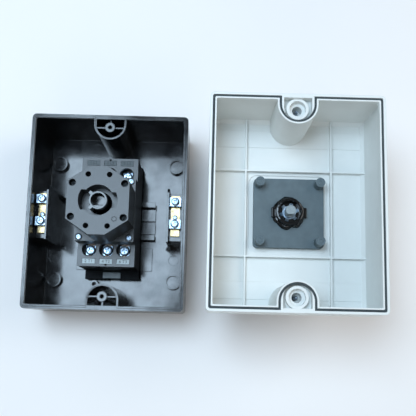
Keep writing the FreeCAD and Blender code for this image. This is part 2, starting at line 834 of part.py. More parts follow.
def octagon_front_block():
    """Octagonal front with the lobed opening and eight holes."""
    a, b = front_corner_x, front_half_height
    c, d = front_half_width, front_corner_y
    body = prism([(a, b), (c, d), (c, -d), (a, -b), (-a, -b), (-c, -d), (-c, d), (-a, b)],
                 mech_top, front_top)
    ledge = front_top - opening_depth
    cuts = [drum(0, 0, ledge, front_top + 1, opening_radius),
            drum(0, 0, mech_top - 1, front_top, rotor_hole_radius)]
    for side, half in ((-1, left_lobe_half), (1, right_lobe_half)):
        near, far = sorted((0, side * (lobe_radius + 1)))
        lobe = drum(0, 0, ledge, front_top + 1, lobe_radius)
        cuts.append(lobe.common(block(near, far, -half, half, ledge, front_top + 1)))
    for x in (-front_screw_x, front_screw_x):
        for y in (-front_screw_y, front_screw_y):
            cuts.append(drum(x, y, front_screw_seat, front_top + 1, front_screw_hole))
            cuts.append(drum(x, y, mech_top - 1, front_top, small_shank_radius + 0.2))
    for x in (-plain_hole_x, plain_hole_x):
        for y in (-plain_hole_y, plain_hole_y):
            cuts.append(drum(x, y, front_top - plain_hole_depth, front_top + 1, plain_hole_radius))
    x, y = ring_mark_place
    mark = drum(x, y, front_top - ring_mark_depth, front_top + 1, ring_mark_radius)
    cuts.append(mark.cut(drum(x, y, front_top - 1, front_top + 2, ring_mark_radius - ring_mark_line)))
    return body.cut(cuts)


def front_block_screws():
    """Four long screws sunk in the octagon's larger holes."""
    pieces = []
    for x in (-front_screw_x, front_screw_x):
        for y in (-front_screw_y, front_screw_y):
            pieces.append(pan_screw(x, y, front_screw_seat, front_screw_hole - 0.3,
                                    long_head_height, small_shank_radius,
                                    mech_top - front_screw_depth))
    return Part.makeCompound(pieces)


def snap_spring():
    """Coil spring that snaps the rotor between its two positions."""
    helix = Part.makeHelix(coil_pitch, coil_pitch * coil_turns, coil_radius)
    section = Part.Wire(Part.makeCircle(coil_wire, V(coil_radius, 0, 0), V(0, 1, 0)))
    spring = Part.Wire(helix.Edges).makePipeShell([section], True, True)
    spring.translate(V(0, 0, coil_low))
    return spring


# ---- rotor -------------------------------------------------------------------------------------
def rotor_disc(pole):
    """Insulating disc of one deck, with the slot that carries its bridge."""
    z = first_deck + deck_pitch * pole - (disc_thickness - contact_thickness) / 2
    slot_low = first_deck + deck_pitch * pole - contact_play
    body = drum(0, 0, z, z + disc_thickness, disc_radius)
    hole = block(-shaft_half, shaft_half, -shaft_half, shaft_half, z - 1,
                 z + disc_thickness + 1)
    half = bridge_width / 2
    slot = block(-disc_radius, disc_radius, -half, half, slot_low,
                 slot_low + contact_thickness + bridge_play)
    return body.cut([hole, slot])


def moving_contact(pole):
    """Copper bridge that joins the two fixed contacts when the rotor stands at ON."""
    z = first_deck + deck_pitch * pole
    half = bridge_width / 2
    reach = contact_tip - bridge_gap
    bar = block(-reach, reach, -half, half, z, z + contact_thickness)
    core = block(-shaft_half, shaft_half, -shaft_half, shaft_half, z - 1, z + 3)
    return bar.common(drum(0, 0, z - 1, z + 3, reach)).cut(core)


def rotor_shaft():
    """Square shaft through the three decks."""
    return block(-shaft_half, shaft_half, -shaft_half, shaft_half, shaft_low,
                 shaft_high)


def rotor_hub():
    """Tube that the handle's pin enters, with two ears and a D-shaped step inside."""
    tube = drum(0, 0, hub_low, hub_top, hub_radius)
    ears = []
    for angle in (135, 225):
        ear = block(hub_radius - 0.6, hub_radius + ear_reach, -ear_width / 2, ear_width / 2,
                    hub_top - 9, hub_top)
        ear.rotate(V(0, 0, 0), V(0, 0, 1), angle)
        ears.append(ear)
    body = union([tube] + ears)
    bore = drum(0, 0, socket_low, hub_top + 1, hub_bore)
    step = block(-hub_bore, hub_bore, -hub_bore - 1, -socket_flat, socket_low - 1, hub_top - 1.2)
    shaft = block(-shaft_half, shaft_half, -shaft_half, shaft_half, hub_low - 1,
                  shaft_high)
    return body.cut([bore.cut(step), shaft])


# ---- terminals beside the switch ---------------------------------------------------------------
def side_x(side, distance):
    """Ordered x limits of something that reaches from the box's wall towards the switch."""
    wall = side * (box_half_width - base_wall - wall_clear)
    return sorted((wall, side * distance))


def side_holder(side):
    """Moulded holder: block against the wall, upright partition plate and gussets."""
    low = base_floor
    block_x = side_x(side, side_plate_x + side_plate_thickness)
    plate_x = sorted((side * side_plate_x, side * (side_plate_x + side_plate_thickness)))
    body = block(block_x[0], block_x[1], side_plate_low + side_block_inset,
                 side_plate_high - side_block_inset, low, side_block_top)
    plate = block(plate_x[0], plate_x[1], side_plate_low, side_plate_high, low, side_plate_top)
    pieces = [body, plate]
    inner = side * side_plate_x
    foot = inner - side * gusset_reach
    for y in (side_plate_low, side_plate_high - side_plate_thickness):
        corners = [V(inner, y, low), V(foot, y, low), V(inner, y, low + gusset_height)]
        face = Part.Face(Part.makePolygon(corners + corners[:1]))
        pieces.append(face.extrude(V(0, side_plate_thickness, 0)))
    body = union(pieces)
    cuts = []
    bar_x = side_bar_x(side)
    middle = (bar_x[0] + bar_x[1]) / 2
    for y in saddle_places + (fixing_screw_y,):
        cuts.append(drum(middle, y, side_block_top - thread_hole_depth, side_block_top + 1,
                         side_shank_radius + 0.3))
    notch = [V(inner, side_plate_high - plate_notch, side_plate_top + 1),
             V(inner, side_plate_high + 1, side_plate_top + 1),
             V(inner, side_plate_high + 1, side_plate_top - plate_notch)]
    face = Part.Face(Part.makePolygon(notch + notch[:1]))
    cuts.append(face.extrude(V(side * side_plate_thickness, 0, 0)))
    return body.cut(cuts)


def side_bar_x(side):
    """Ordered x limits of a brass bar, held clear of the partition plate."""
    far = side_plate_x + side_plate_thickness + bar_from_plate
    return sorted((side * far, side * (far + bar_width)))


def side_bar(side):
    """Brass bar on the holder, with its screw holes."""
    x0, x1 = side_bar_x(side)
    middle = (x0 + x1) / 2
    bar = block(x0, x1, bar_low, bar_high, side_block_top, side_block_top + bar_thickness)
    holes = [drum(middle, y, side_block_top - 1, side_block_top + 9, side_shank_radius)
             for y in saddle_places + (fixing_screw_y,)]
    return bar.cut(holes)


def side_saddles(side):
    """Two bent saddle clamps that press the conductors on the bar."""
    x0, x1 = side_bar_x(side)
    middle = (x0 + x1) / 2
    low = side_block_top + bar_thickness
    top = low + saddle_rise
    half_x = saddle_width / 2
    half_y = saddle_length / 2
    pieces = []
    for y in saddle_places:
        plate = block(middle - half_x, middle + half_x, y - half_y, y + half_y,
                      top - saddle_thickness, top)
        legs = [block(middle + s * (half_x - saddle_thickness / 2) - saddle_thickness / 2,
                      middle + s * (half_x - saddle_thickness / 2) + saddle_thickness / 2,
                      y - half_y, y + half_y, low + 0.1, top) for s in (1, -1)]
        hole = drum(middle, y, low - 1, top + 1, side_shank_radius)
        pieces.append(union([plate] + legs).cut(hole))
    return Part.makeCompound(pieces)


def side_screws(side):
    """Two pan-head screws through the saddles."""
    x0, x1 = side_bar_x(side)
    seat = side_block_top + bar_thickness + saddle_rise
    pieces = [pan_screw((x0 + x1) / 2, y, seat, side_screw_radius, side_screw_head,
                        side_shank_radius, seat - side_shank_length) for y in saddle_places]
    return Part.makeCompound(pieces)


def side_fixing_screw(side):
    """Small screw that holds the bar to its holder."""
    x0, x1 = side_bar_x(side)
    seat = side_block_top + bar_thickness
    return pan_screw((x0 + x1) / 2, fixing_screw_y, seat, fixing_screw_head, fixing_screw_rise,
                     fixing_shank_radius, seat - fixing_shank_length)


# ---- handle side, modelled closed ------------------------------------------------------------------
def post_places():
    """The four corners of the backing plate."""
    return [(sx * post_x, sy * post_y) for sx in (1, -1) for sy in (1, -1)]


def stud_places():
    """Four screws from the backing plate into the escutcheon, inside the posts."""
    return [(stud_place, 0), (-stud_place, 0), (0, stud_place), (0, -stud_place)]


def handle_backing_plate():
    """Dark grey plate inside the cover with four round posts."""
    low = plate_face
    top = cover_inside + pocket_sunk
    body = rounded(plate_half, plate_half, low, top, plate_corner)
    pieces = [body]
    for x, y in post_places():
        pieces.append(drum(x, y, low - post_length, low + 0.5, post_radius))
    cuts = [drum(0, 0, low - 1, top + 1, shaft_hole_radius)]
    for x, y in post_places():
        cuts.append(drum(x, y, low - post_length - 1, low - post_length + 0.5, post_dimple))
    for x, y in stud_places():
        cuts.append(drum(x, y, top - stud_in_plate - 1, top + 1, stud_radius + 0.1))
    return union(pieces).cut(cuts)


def handle_escutcheon():
    """Square plate on the cover's front, which the knob turns on."""
    body = rounded(escutcheon_half, escutcheon_half, cover_front,
                   cover_front + escutcheon_thickness, escutcheon_corner)
    rim = [e for e in body.Edges if e.BoundBox.ZMin > cover_front + escutcheon_thickness - 0.01]
    body = body.makeFillet(1.0, rim)
    cuts = [drum(0, 0, cover_front - 1, cover_front + escutcheon_thickness + 1, shaft_hole_radius),
            drum(0, 0, cover_front - 1, cover_front + seal_ring_height + 0.1, seal_ring_radius)]
    for x, y in stud_places():
        cuts.append(drum(x, y, cover_front - 1, cover_front + stud_in_escutcheon + 0.2, stud_radius))
    return body.cut(cuts)


def escutcheon_studs():
    """Four headless studs that join the escutcheon to the backing plate."""
    low = cover_inside + pocket_sunk - stud_in_plate
    pieces = [drum(x, y, low, cover_front + stud_in_escutcheon, stud_radius)
              for x, y in stud_places()]
    return Part.makeCompound(pieces)


def shaft_seal():
    """Rubber ring round the shaft, between cover and escutcheon."""
    ring = drum(0, 0, cover_front, cover_front + seal_ring_height, seal_ring_radius)
    return ring.cut(drum(0, 0, cover_front - 1, cover_front + seal_ring_height + 1, shaft_hole_radius))


def drive_hub():
    """Black hub that carries the pin: wide head inside the cover, stem through to the knob."""
    top = plate_face - turn_play
    low = top - hub_head_height
    pieces = [drum(0, 0, low, top, hub_head_radius),
              drum(0, 0, top - 1, knob_under, stem_radius)]
    for angle in (0, 180):
        wing = block(0, wing_radius, -wing_half_width, wing_half_width, top - wing_height, top)
        wing.rotate(V(0, 0, 0), V(0, 0, 1), angle)
        pieces.append(wing)
    body = union(pieces)
    return body.cut([drum(0, 0, low - 1, top - hub_head_web, hub_head_bore),
                     drum(0, 0, low - 1, knob_under + 1, pin_radius)])


def drive_pin():
    """Grey steel pin from the knob to the rotor's socket, with a flat at its end."""
    low = plate_face - pin_reach
    top = knob_under + pin_in_knob
    pin = drum(0, 0, low, top, pin_radius)
    flat = block(-pin_radius - 1, pin_radius + 1, -pin_radius - 1, -pin_flat, low - 1,
                 low + pin_flat_length)
    edge = [e for e in pin.Edges if e.BoundBox.ZMax < low + 0.01]
    return pin.makeChamfer(0.5, edge).cut(flat)


def coupling_spider():
    """Pressed metal star round the pin, inside the hub's head."""
    low = plate_face - turn_play - hub_head_web - spider_thickness
    top = low + spider_thickness
    arms = [drum(0, 0, low, top, pin_radius + 1.2)]
    for i in range(spider_arms):
        arm = block(0, spider_radius, -spider_arm_half, spider_arm_half, low, top)
        arm.rotate(V(0, 0, 0), V(0, 0, 1), 360 * i / spider_arms)
        arms.append(arm)
    return union(arms).cut(drum(0, 0, low - 1, top + 1, pin_radius))


def handle_knob():
    """Turning knob: round base and a tapered grip bar with a padlock slot."""
    low = knob_under
    disc = drum(0, 0, low, low + knob_disc_height, knob_disc_radius)
    edge = [e for e in disc.Edges if e.BoundBox.ZMin > low + knob_disc_height - 0.01]
    disc = disc.makeFillet(knob_edge, edge)
    foot = low + knob_disc_height - 1
    profile = [V(-grip_half_width, -grip_half_length, foot), V(grip_half_width, -grip_half_length, foot),
               V(grip_top_half_width, -grip_half_length, knob_top),
               V(-grip_top_half_width, -grip_half_length, knob_top)]
    grip = Part.Face(Part.makePolygon(profile + profile[:1])).extrude(V(0, 2 * grip_half_length, 0))
    upper = [e for e in grip.Edges if e.BoundBox.ZMax > foot + 0.01]
    grip = grip.makeFillet(knob_edge, upper)
    body = union([disc, grip])
    cuts = [drum(0, 0, low - 1, low + pin_in_knob, pin_radius)]
    play = slider_play
    z = low + slider_low
    cuts.append(block(slider_inner - play, knob_disc_radius + 1, -slider_half_width - play,
                      slider_half_width + play, z - play, z + slider_thickness + play))
    for side in (1, -1):
        groove_x = side * (grip_half_width + grip_groove_out)
        for k in range(grip_grooves):
            y = (k - (grip_grooves - 1) / 2) * grip_groove_pitch
            cuts.append(drum(groove_x, y, foot + grip_groove_foot, knob_top + 1, grip_groove_radius))
    return body.cut(cuts)


def padlock_slider():
    """Plate that slides out of the knob's base to take padlocks."""
    z = knob_under + slider_low
    body = block(slider_inner, slider_outer, -slider_half_width, slider_half_width, z,
                 z + slider_thickness)
    hole_x = slider_outer - shackle_edge
    return body.cut(drum(hole_x, 0, z - 1, z + slider_thickness + 1, shackle_radius))


# ---- write every node ----------------------------------------------------------------------------
os.makedirs("parts", exist_ok=True)

save("base_box", base_box())
save("mounting_foot", mounting_foot())
save("din_latch", din_latch())
save("switch_housing", switch_housing())
save("mechanism_housing", mechanism_housing())
save("octagon_front_block", octagon_front_block())
save("mechanism_screws", mechanism_screws())
save("front_block_screws", front_block_screws())
save("terminal_screws", terminal_screws())
save("terminal_clamps", terminal_clamps())
save("marker_strip_top", marker_strip(1))
save("marker_strip_bottom", marker_strip(-1))
save("snap_spring", snap_spring())
for pole in range(3):
    number = str(pole + 1)
    save("line_contact_" + number, fixed_contact(pole, 1))
    save("load_contact_" + number, fixed_contact(pole, -1))
    save("moving_contact_" + number, moving_contact(pole))
    save("rotor_disc_" + number, rotor_disc(pole))
save("rotor_shaft", rotor_shaft())
save("rotor_hub", rotor_hub())
for name, side in (("earth", -1), ("neutral", 1)):
    save(name + "_terminal_holder", side_holder(side))
    save(name + "_bar", side_bar(side))
    save(name + "_clamp_saddles", side_saddles(side))
    save(name + "_clamp_screws", side_screws(side))
    save(name + "_fixing_screw", side_fixing_screw(side))
save_open("cover_shell", cover_shell())
save_open("cover_gasket", cover_gasket())
for name, side in (("top", 1), ("bottom", -1)):
    save_open("cover_screw_" + name, cover_screw(side))
    save_open("cover_screw_seal_" + name, cover_screw_seal(side))
save_open("handle_backing_plate", handle_backing_plate())
save_open("handle_escutcheon", handle_escutcheon())
save_open("escutcheon_studs", escutcheon_studs())
save_open("shaft_seal", shaft_seal())
save_open("drive_hub", drive_hub())
save_open("drive_pin", drive_pin())
save_open("coupling_spider", coupling_spider())
save_open("handle_knob", handle_knob())
save_open("padlock_slider", padlock_slider())
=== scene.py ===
"""Enclosed rotary isolator, opened for wiring.

Finishes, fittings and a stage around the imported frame, laid out as a Blender add-on
and run as a script.
"""
import json
import math

import bmesh
import bpy
from bpy.props import FloatProperty, FloatVectorProperty, PointerProperty
from mathutils import Matrix, Vector, noise


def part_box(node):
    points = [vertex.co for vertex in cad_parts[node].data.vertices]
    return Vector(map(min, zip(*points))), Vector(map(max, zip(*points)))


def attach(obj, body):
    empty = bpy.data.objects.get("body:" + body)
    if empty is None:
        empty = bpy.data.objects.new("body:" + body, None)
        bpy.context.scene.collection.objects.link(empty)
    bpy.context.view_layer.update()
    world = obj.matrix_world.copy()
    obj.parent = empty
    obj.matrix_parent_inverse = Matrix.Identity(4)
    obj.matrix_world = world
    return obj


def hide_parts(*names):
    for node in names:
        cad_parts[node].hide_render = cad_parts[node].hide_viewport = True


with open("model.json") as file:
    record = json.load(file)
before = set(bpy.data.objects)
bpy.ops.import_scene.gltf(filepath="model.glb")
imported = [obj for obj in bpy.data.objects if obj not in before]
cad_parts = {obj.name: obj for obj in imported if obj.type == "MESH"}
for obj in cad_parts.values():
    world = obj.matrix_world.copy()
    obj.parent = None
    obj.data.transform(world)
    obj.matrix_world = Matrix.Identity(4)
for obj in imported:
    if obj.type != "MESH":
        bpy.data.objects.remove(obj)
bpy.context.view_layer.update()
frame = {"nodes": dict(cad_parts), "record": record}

bl_info = {
    "name": "Rotary isolator switch",
    "version": (1, 0, 0),
    "blender": (4, 5, 0),
    "location": "View3D > Sidebar > Isolator",
    "description": "Builds the finishes and fittings of an enclosed rotary isolator",
    "category": "Object",
}

MM = 0.001
CAD_GAP = 0.002 * MM        # vertices of a CAD mesh that are closer than this are one
MESH_GAP = 0.001 * MM       # the same for a mesh that is made here
LEVEL = 0.01 * MM           # heights that differ by less than this are level


# ---- colours -----------------------------------------------------------------------------------
def linear(hex_colour):
    """Linear RGB of an sRGB hex value."""
    channels = [int(hex_colour[i:i + 2], 16) / 255 for i in (1, 3, 5)]
    return tuple(c / 12.92 if c <= 0.04045 else ((c + 0.055) / 1.055) ** 2.4 for c in channels)


def colour_property(name, description, hex_colour):
    """A colour that the user may change, given as an sRGB hex value."""
    return FloatVectorProperty(name=name, description=description, subtype="COLOR", size=3,
                               min=0.0, max=1.0, default=linear(hex_colour))


def length_property(name, description, millimetres):
    """A length that the user may change."""
    return FloatProperty(name=name, description=description, unit="LENGTH", min=0.0,
                         default=millimetres * MM)


class IsolatorColours(bpy.types.PropertyGroup):
    """Colours of the isolator's finishes."""

    box_black: colour_property("Box", "Glossy black moulding of the deep base box", "#0B0E11")
    switch_black: colour_property("Switch", "Matt black thermoset of the switch", "#0F1316")
    cover_grey: colour_property("Cover", "Light grey moulding of the cover", "#DCDFDC")
    plate_grey: colour_property("Backing plate", "Dark grey moulding of the handle's plate",
                                "#4B5A60")
    knob_black: colour_property("Knob", "Satin black moulding of the knob", "#191C1F")
    escutcheon_grey: colour_property("Escutcheon", "Plate round the knob", "#3A3F43")
    hub_black: colour_property("Hub", "Greased black moulding of the driving hub", "#08090A")
    seal_grey: colour_property("Seal", "Rubber of the seal and washers", "#343E42")
    zinc: colour_property("Zinc plate", "Bright zinc plated steel", "#AFC3D6")
    pin_grey: colour_property("Drive pin", "Die cast drive pin", "#8D989C")
    brass: colour_property("Brass", "Drawn brass bar", "#AE9A74")
    copper: colour_property("Contacts", "Silvered copper contacts", "#B9A595")
    spring: colour_property("Spring", "Oiled spring steel", "#9A9CA0")
    marker_grey: colour_property("Markers", "Pale marker plates", "#A3B0B4")
    marker_dark: colour_property("Upper markers", "Dark marker plates", "#3E4649")
    black_steel: colour_property("Blackened steel", "Black oxide screws", "#1D2022")
    mark_ink: colour_property("Marks", "Printed terminal numbers", "#15181A")
    latch_grey: colour_property("Latch", "Grey rail latch", "#5A6367")
    floor_white: colour_property("Floor", "Pale studio floor", "#EFECEA")


class IsolatorSizes(bpy.types.PropertyGroup):
    """Sizes of the fittings that are made around the frame."""

    housing_ease: length_property("Housing edge", "Radius on the switch's moulded edges", 0.35)
    plate_ease: length_property("Plate edge", "Radius on the handle's plate and knob", 0.45)
    metal_ease: length_property("Metal edge", "Radius on cut and bent metal", 0.28)
    seal_ease: length_property("Seal edge", "Rounding of the seal cord", 0.42)
    thread_depth: length_property("Thread depth", "Depth of the screws' threads", 0.22)
    hub_unevenness: length_property("Hub unevenness", "How far the greased hub strays from round",
                                    0.32)
    grease_reach: length_property("Grease reach", "Width of the grease round the hub", 3.4)
    grease_rise: length_property("Grease rise", "Height of the grease round the hub", 2.6)
    number_height: length_property("Number height", "Height of the terminal marks", 2.7)
    dial_height: length_property("Dial mark height", "Height of the marks on the escutcheon", 2.8)
    print_thickness: length_property("Print thickness", "Thickness of the printed marks", 0.06)


# ---- material nodes ------------------------------------------------------------------------------
def add(tree, kind, settings=None, inputs=None):
    """Add one node with its settings; an input is a value or another node's output."""
    made = tree.nodes.new(kind)
    for name, value in (settings or {}).items():
        setattr(made, name, value)
    for name, value in (inputs or {}).items():
        socket = made.inputs[name]
        if isinstance(value, bpy.types.NodeSocket):
            tree.links.new(value, socket)
        else:
            socket.default_value = value
    return made


def per_mm(size):
    """Texture scale whose features are this many millimetres wide."""
    return 1.0 / (size * MM)


CLOUD_LOW, CLOUD_HIGH = 0.32, 0.68     # part of the noise that goes from one colour to the other
PATCH_LOW, PATCH_HIGH = 0.3, 0.7       # part of the noise that goes from the low to the high gloss
PATCH_SHARE = 0.35                     # width of a gloss patch, as a share of a colour cloud
HIGHLIGHT_FROM, HIGHLIGHT_TO = 1.0, 0.8          # cosine between the eased and the flat normal, at which the painted edge highlight starts and is full
HIGHLIGHT_GAIN, HIGHLIGHT_LIFT = 2.2, 0.05       # how much paler the painted highlight on an edge is


def surface(name, colour, second, cloud_mm, rough, grain_mm, grain_depth, swell_mm=0.0,
            swell_depth=0.0, ease_mm=0.25, painted_highlight=0.0, **shader):
    """A material with clouded colour, uneven gloss, fine grain, long swell, eased edges and, where
    asked, a painted highlight along its edges.
    """
    # The grain of a real mould or plating is well under 0.1 mm wide, which is too fine to show,
    # so every grain_mm is drawn as coarse as it needs to show.
    material = bpy.data.materials.new(name)
    material.use_nodes = True
    tree = material.node_tree
    tree.nodes.clear()
    place = add(tree, "ShaderNodeTexCoord").outputs["Object"]
    cloud = add(tree, "ShaderNodeTexNoise", inputs={
        "Vector": place, "Scale": per_mm(cloud_mm), "Detail": 5.0, "Roughness": 0.6}).outputs[0]
    spread = add(tree, "ShaderNodeMapRange", inputs={
        "Value": cloud, "From Min": CLOUD_LOW, "From Max": CLOUD_HIGH}).outputs[0]
    tint = add(tree, "ShaderNodeMix", {"data_type": "RGBA"},
               {0: spread, 6: (*colour, 1.0), 7: (*second, 1.0)}).outputs[2]
    eased = add(tree, "ShaderNodeBevel", {"samples": 4}, {"Radius": ease_mm * MM}).outputs[0]
    # Painted highlight: where the eased normal turns away from the flat one, the colour is made
    # paler, standing in for the light that a rounded edge catches.
    if painted_highlight:
        flat = add(tree, "ShaderNodeNewGeometry").outputs["Normal"]
        facing = add(tree, "ShaderNodeVectorMath", {"operation": "DOT_PRODUCT"},
                     {0: eased, 1: flat}).outputs["Value"]
        highlight_mask = add(tree, "ShaderNodeMapRange", inputs={
            "Value": facing, "From Min": HIGHLIGHT_FROM, "From Max": HIGHLIGHT_TO, "To Min": 0.0,
            "To Max": painted_highlight}).outputs[0]
        pale = tuple(min(1.0, c * HIGHLIGHT_GAIN + HIGHLIGHT_LIFT) for c in colour)
        tint = add(tree, "ShaderNodeMix", {"data_type": "RGBA"},
                   {0: highlight_mask, 6: tint, 7: (*pale, 1.0)}).outputs[2]
    patches = add(tree, "ShaderNodeTexNoise", inputs={
        "Vector": place, "Scale": per_mm(cloud_mm * PATCH_SHARE), "Detail": 3.0}).outputs[0]
    gloss = add(tree, "ShaderNodeMapRange", inputs={
        "Value": patches, "From Min": PATCH_LOW, "From Max": PATCH_HIGH, "To Min": rough[0],
        "To Max": rough[1]}).outputs[0]
    grain = add(tree, "ShaderNodeTexNoise", inputs={
        "Vector": place, "Scale": per_mm(grain_mm), "Detail": 2.0}).outputs[0]
    normal = add(tree, "ShaderNodeBump", inputs={
        "Height": grain, "Distance": grain_depth * MM, "Strength": 1.0, "Normal": eased}).outputs[0]
    if swell_depth:
        swell = add(tree, "ShaderNodeTexNoise", inputs={
            "Vector": place, "Scale": per_mm(swell_mm), "Detail": 1.0}).outputs[0]
        normal = add(tree, "ShaderNodeBump", inputs={
            "Height": swell, "Distance": swell_depth * MM, "Strength": 1.0,
            "Normal": normal}).outputs[0]
    finish = add(tree, "ShaderNodeBsdfPrincipled", inputs={
        "Base Color": tint, "Roughness": gloss, "Normal": normal, **shader})
    add(tree, "ShaderNodeOutputMaterial", inputs={"Surface": finish.outputs[0]})
    return material


def make_finishes(colours):
    """Every finish of the isolator, by name."""
    def shade(name, share):
        colour = tuple(getattr(colours, name))
        return colour, tuple(min(1.0, channel * share) for channel in colour)

    made = {}
    # Injection moulded ABS from a polished tool: deep black, with sink marks that bend reflections.
    made["box"] = surface("glossy_abs_box", *shade("box_black", 1.6), cloud_mm=30.0,
                          rough=(0.10, 0.22), grain_mm=0.5, grain_depth=0.003, swell_mm=17.0,
                          swell_depth=0.10, ease_mm=0.45, painted_highlight=0.10, IOR=1.55)
    # Glass filled thermoset: matt, with a fine pale speckle of filler.
    made["switch"] = surface("matt_thermoset_housing", *shade("switch_black", 2.0), cloud_mm=1.1,
                             rough=(0.34, 0.44), grain_mm=0.45, grain_depth=0.010, swell_mm=24.0,
                             swell_depth=0.05, ease_mm=0.2, painted_highlight=0.35, IOR=1.6)
    # Moulded polyamide foot: dead matt black, which takes almost no reflection.
    made["foot"] = surface("matt_polyamide_foot", *shade("box_black", 1.8), cloud_mm=6.0,
                           rough=(0.6, 0.72), grain_mm=0.5, grain_depth=0.02, ease_mm=0.2,
                           painted_highlight=0.3, **{"Specular IOR Level": 0.15})
    # Polycarbonate from a spark eroded tool: satin light grey, evenly pale.
    made["cover"] = surface("satin_polycarbonate_cover", *shade("cover_grey", 0.95), cloud_mm=26.0,
                            rough=(0.38, 0.50), grain_mm=0.7, grain_depth=0.008, swell_mm=28.0,
                            swell_depth=0.06, ease_mm=0.5, IOR=1.58)
    # Moulded polyamide: flat dark grey with cloudy flow marks.
    made["plate"] = surface("moulded_polyamide_plate", *shade("plate_grey", 1.22), cloud_mm=9.0,
                            rough=(0.50, 0.62), grain_mm=0.6, grain_depth=0.012, ease_mm=0.2,
                            painted_highlight=0.25, IOR=1.53)
    # The same from a finer tool: satin, so that the grip's edges catch the light, helped by a
    # painted highlight along them.
    made["knob"] = surface("satin_polyamide_knob", *shade("knob_black", 1.6), cloud_mm=14.0,
                           rough=(0.34, 0.46), grain_mm=0.8, grain_depth=0.012, ease_mm=0.3,
                           painted_highlight=0.3, IOR=1.53)
    # A duller satin than the knob's, so that the white marks stand out.
    made["escutcheon"] = surface("satin_polyamide_escutcheon", *shade("escutcheon_grey", 1.25),
                                 cloud_mm=12.0, rough=(0.42, 0.54), grain_mm=0.8, grain_depth=0.012,
                                 ease_mm=0.3, painted_highlight=0.2, IOR=1.53)
    # Greased moulding: wet black with sharp glints.
    made["hub"] = surface("greased_hub_moulding", *shade("hub_black", 1.8), cloud_mm=4.0,
                          rough=(0.06, 0.16), grain_mm=1.4, grain_depth=0.05, swell_mm=3.0,
                          swell_depth=0.12, IOR=1.48)
    # Extruded EPDM cord: dull dark grey with a fine foamed skin.
    made["seal"] = surface("epdm_seal_cord", *shade("seal_grey", 0.7), cloud_mm=3.0,
                           rough=(0.62, 0.78), grain_mm=0.35, grain_depth=0.03, ease_mm=0.2,
                           IOR=1.5)
    # Zinc plated steel with a blue passivation: bright, slightly clouded, brushed by handling.
    made["zinc"] = surface("zinc_plated_steel", *shade("zinc", 0.62), cloud_mm=1.4,
                           rough=(0.22, 0.42), grain_mm=1.3, grain_depth=0.09, ease_mm=0.15,
                           Metallic=1.0)
    # Black oxide on steel: dark, slightly oily.
    made["black_steel"] = surface("black_oxide_steel", *shade("black_steel", 0.6), cloud_mm=1.5,
                                  rough=(0.35, 0.5), grain_mm=0.8, grain_depth=0.03, ease_mm=0.15,
                                  Metallic=0.8)
    # Die cast zinc pin: dull grey with a coarse cast skin on its end.
    made["pin"] = surface("die_cast_pin", *shade("pin_grey", 0.75), cloud_mm=1.3, rough=(0.45, 0.6),
                          grain_mm=0.6, grain_depth=0.05, ease_mm=0.3, Metallic=0.25)
    # Drawn brass: warm and bright, dulled where it was handled.
    made["brass"] = surface("drawn_brass", *shade("brass", 0.6), cloud_mm=5.0, rough=(0.2, 0.38),
                            grain_mm=0.4, grain_depth=0.008, ease_mm=0.15, Metallic=1.0)
    # Silvered copper: pinkish grey, rubbed through in places.
    made["copper"] = surface("silvered_copper", *shade("copper", 0.6), cloud_mm=3.0,
                             rough=(0.25, 0.42), grain_mm=0.5, grain_depth=0.01, ease_mm=0.1,
                             Metallic=1.0)
    # Oiled spring wire: mid grey with a thin dark oil film.
    made["spring"] = surface("oiled_spring_wire", *shade("spring", 0.5), cloud_mm=2.0,
                             rough=(0.2, 0.35), grain_mm=0.4, grain_depth=0.01, ease_mm=0.1,
                             Metallic=1.0)
    # Pale printed marker plates: chalky moulding.
    made["marker"] = surface("marker_plate_moulding", *shade("marker_grey", 1.2), cloud_mm=2.5,
                             rough=(0.5, 0.65), grain_mm=0.4, grain_depth=0.01, ease_mm=0.12,
                             IOR=1.5)
    # The upper row's plates: a darker chalky moulding, on which the numbers hardly show.
    made["marker_dark"] = surface("dark_marker_moulding", *shade("marker_dark", 1.4), cloud_mm=2.0,
                                  rough=(0.45, 0.6), grain_mm=0.4, grain_depth=0.01, ease_mm=0.12,
                                  IOR=1.5)
    # Pad printed ink: flat black, a little uneven.
    made["ink"] = surface("pad_printed_ink", *shade("mark_ink", 1.8), cloud_mm=0.8,
                          rough=(0.5, 0.7), grain_mm=0.2, grain_depth=0.004, ease_mm=0.03, IOR=1.5)
    # White filled marks of the dial.
    made["dial_mark"] = surface("white_filled_mark", linear("#E1E3E5"), linear("#CBD0D3"),
                                cloud_mm=1.5, rough=(0.45, 0.6), grain_mm=0.3, grain_depth=0.01,
                                ease_mm=0.05, IOR=1.5)
    # Acetal latch: waxy mid grey.
    made["latch"] = surface("acetal_latch", *shade("latch_grey", 1.2), cloud_mm=6.0,
                            rough=(0.36, 0.46), grain_mm=0.5, grain_depth=0.01, painted_highlight=0.2,
                            IOR=1.48)
    # Painted board: soft and even, so that it only holds the shadows.
    made["floor"] = surface("painted_studio_floor", *shade("floor_white", 0.98), cloud_mm=300.0,
                            rough=(0.75, 0.85), grain_mm=1.5, grain_depth=0.01, ease_mm=0.1,
                            IOR=1.45)
    return made


FINISHES = {}

# Which finish each slot of the record takes.
SLOT_FINISHES = {
    "black_moulding": "box", "housing_moulding": "switch", "cover_moulding": "cover",
    "dark_grey_moulding": "plate", "knob_moulding": "knob", "escutcheon_moulding": "escutcheon",
    "hub_moulding": "hub", "seal_rubber": "seal", "zinc_plated_steel": "zinc",
    "grey_pin": "pin", "brass": "brass", "contact_copper": "copper", "spring_steel": "spring",
    "marker_plastic": "marker", "latch_moulding": "latch", "blackened_steel": "black_steel",
}
# Nodes whose finish differs from their slot's.
NODE_FINISHES = {"marker_strip_top": "marker_dark", "mounting_foot": "foot"}
NODE_SLOTS = {part["node"]: part["material_slot"] for part in frame["record"]["subparts"]}
NODE_BODIES = {node: body for body, nodes in frame["record"]["behaviour"]["bodies"].items()
               for node in nodes}


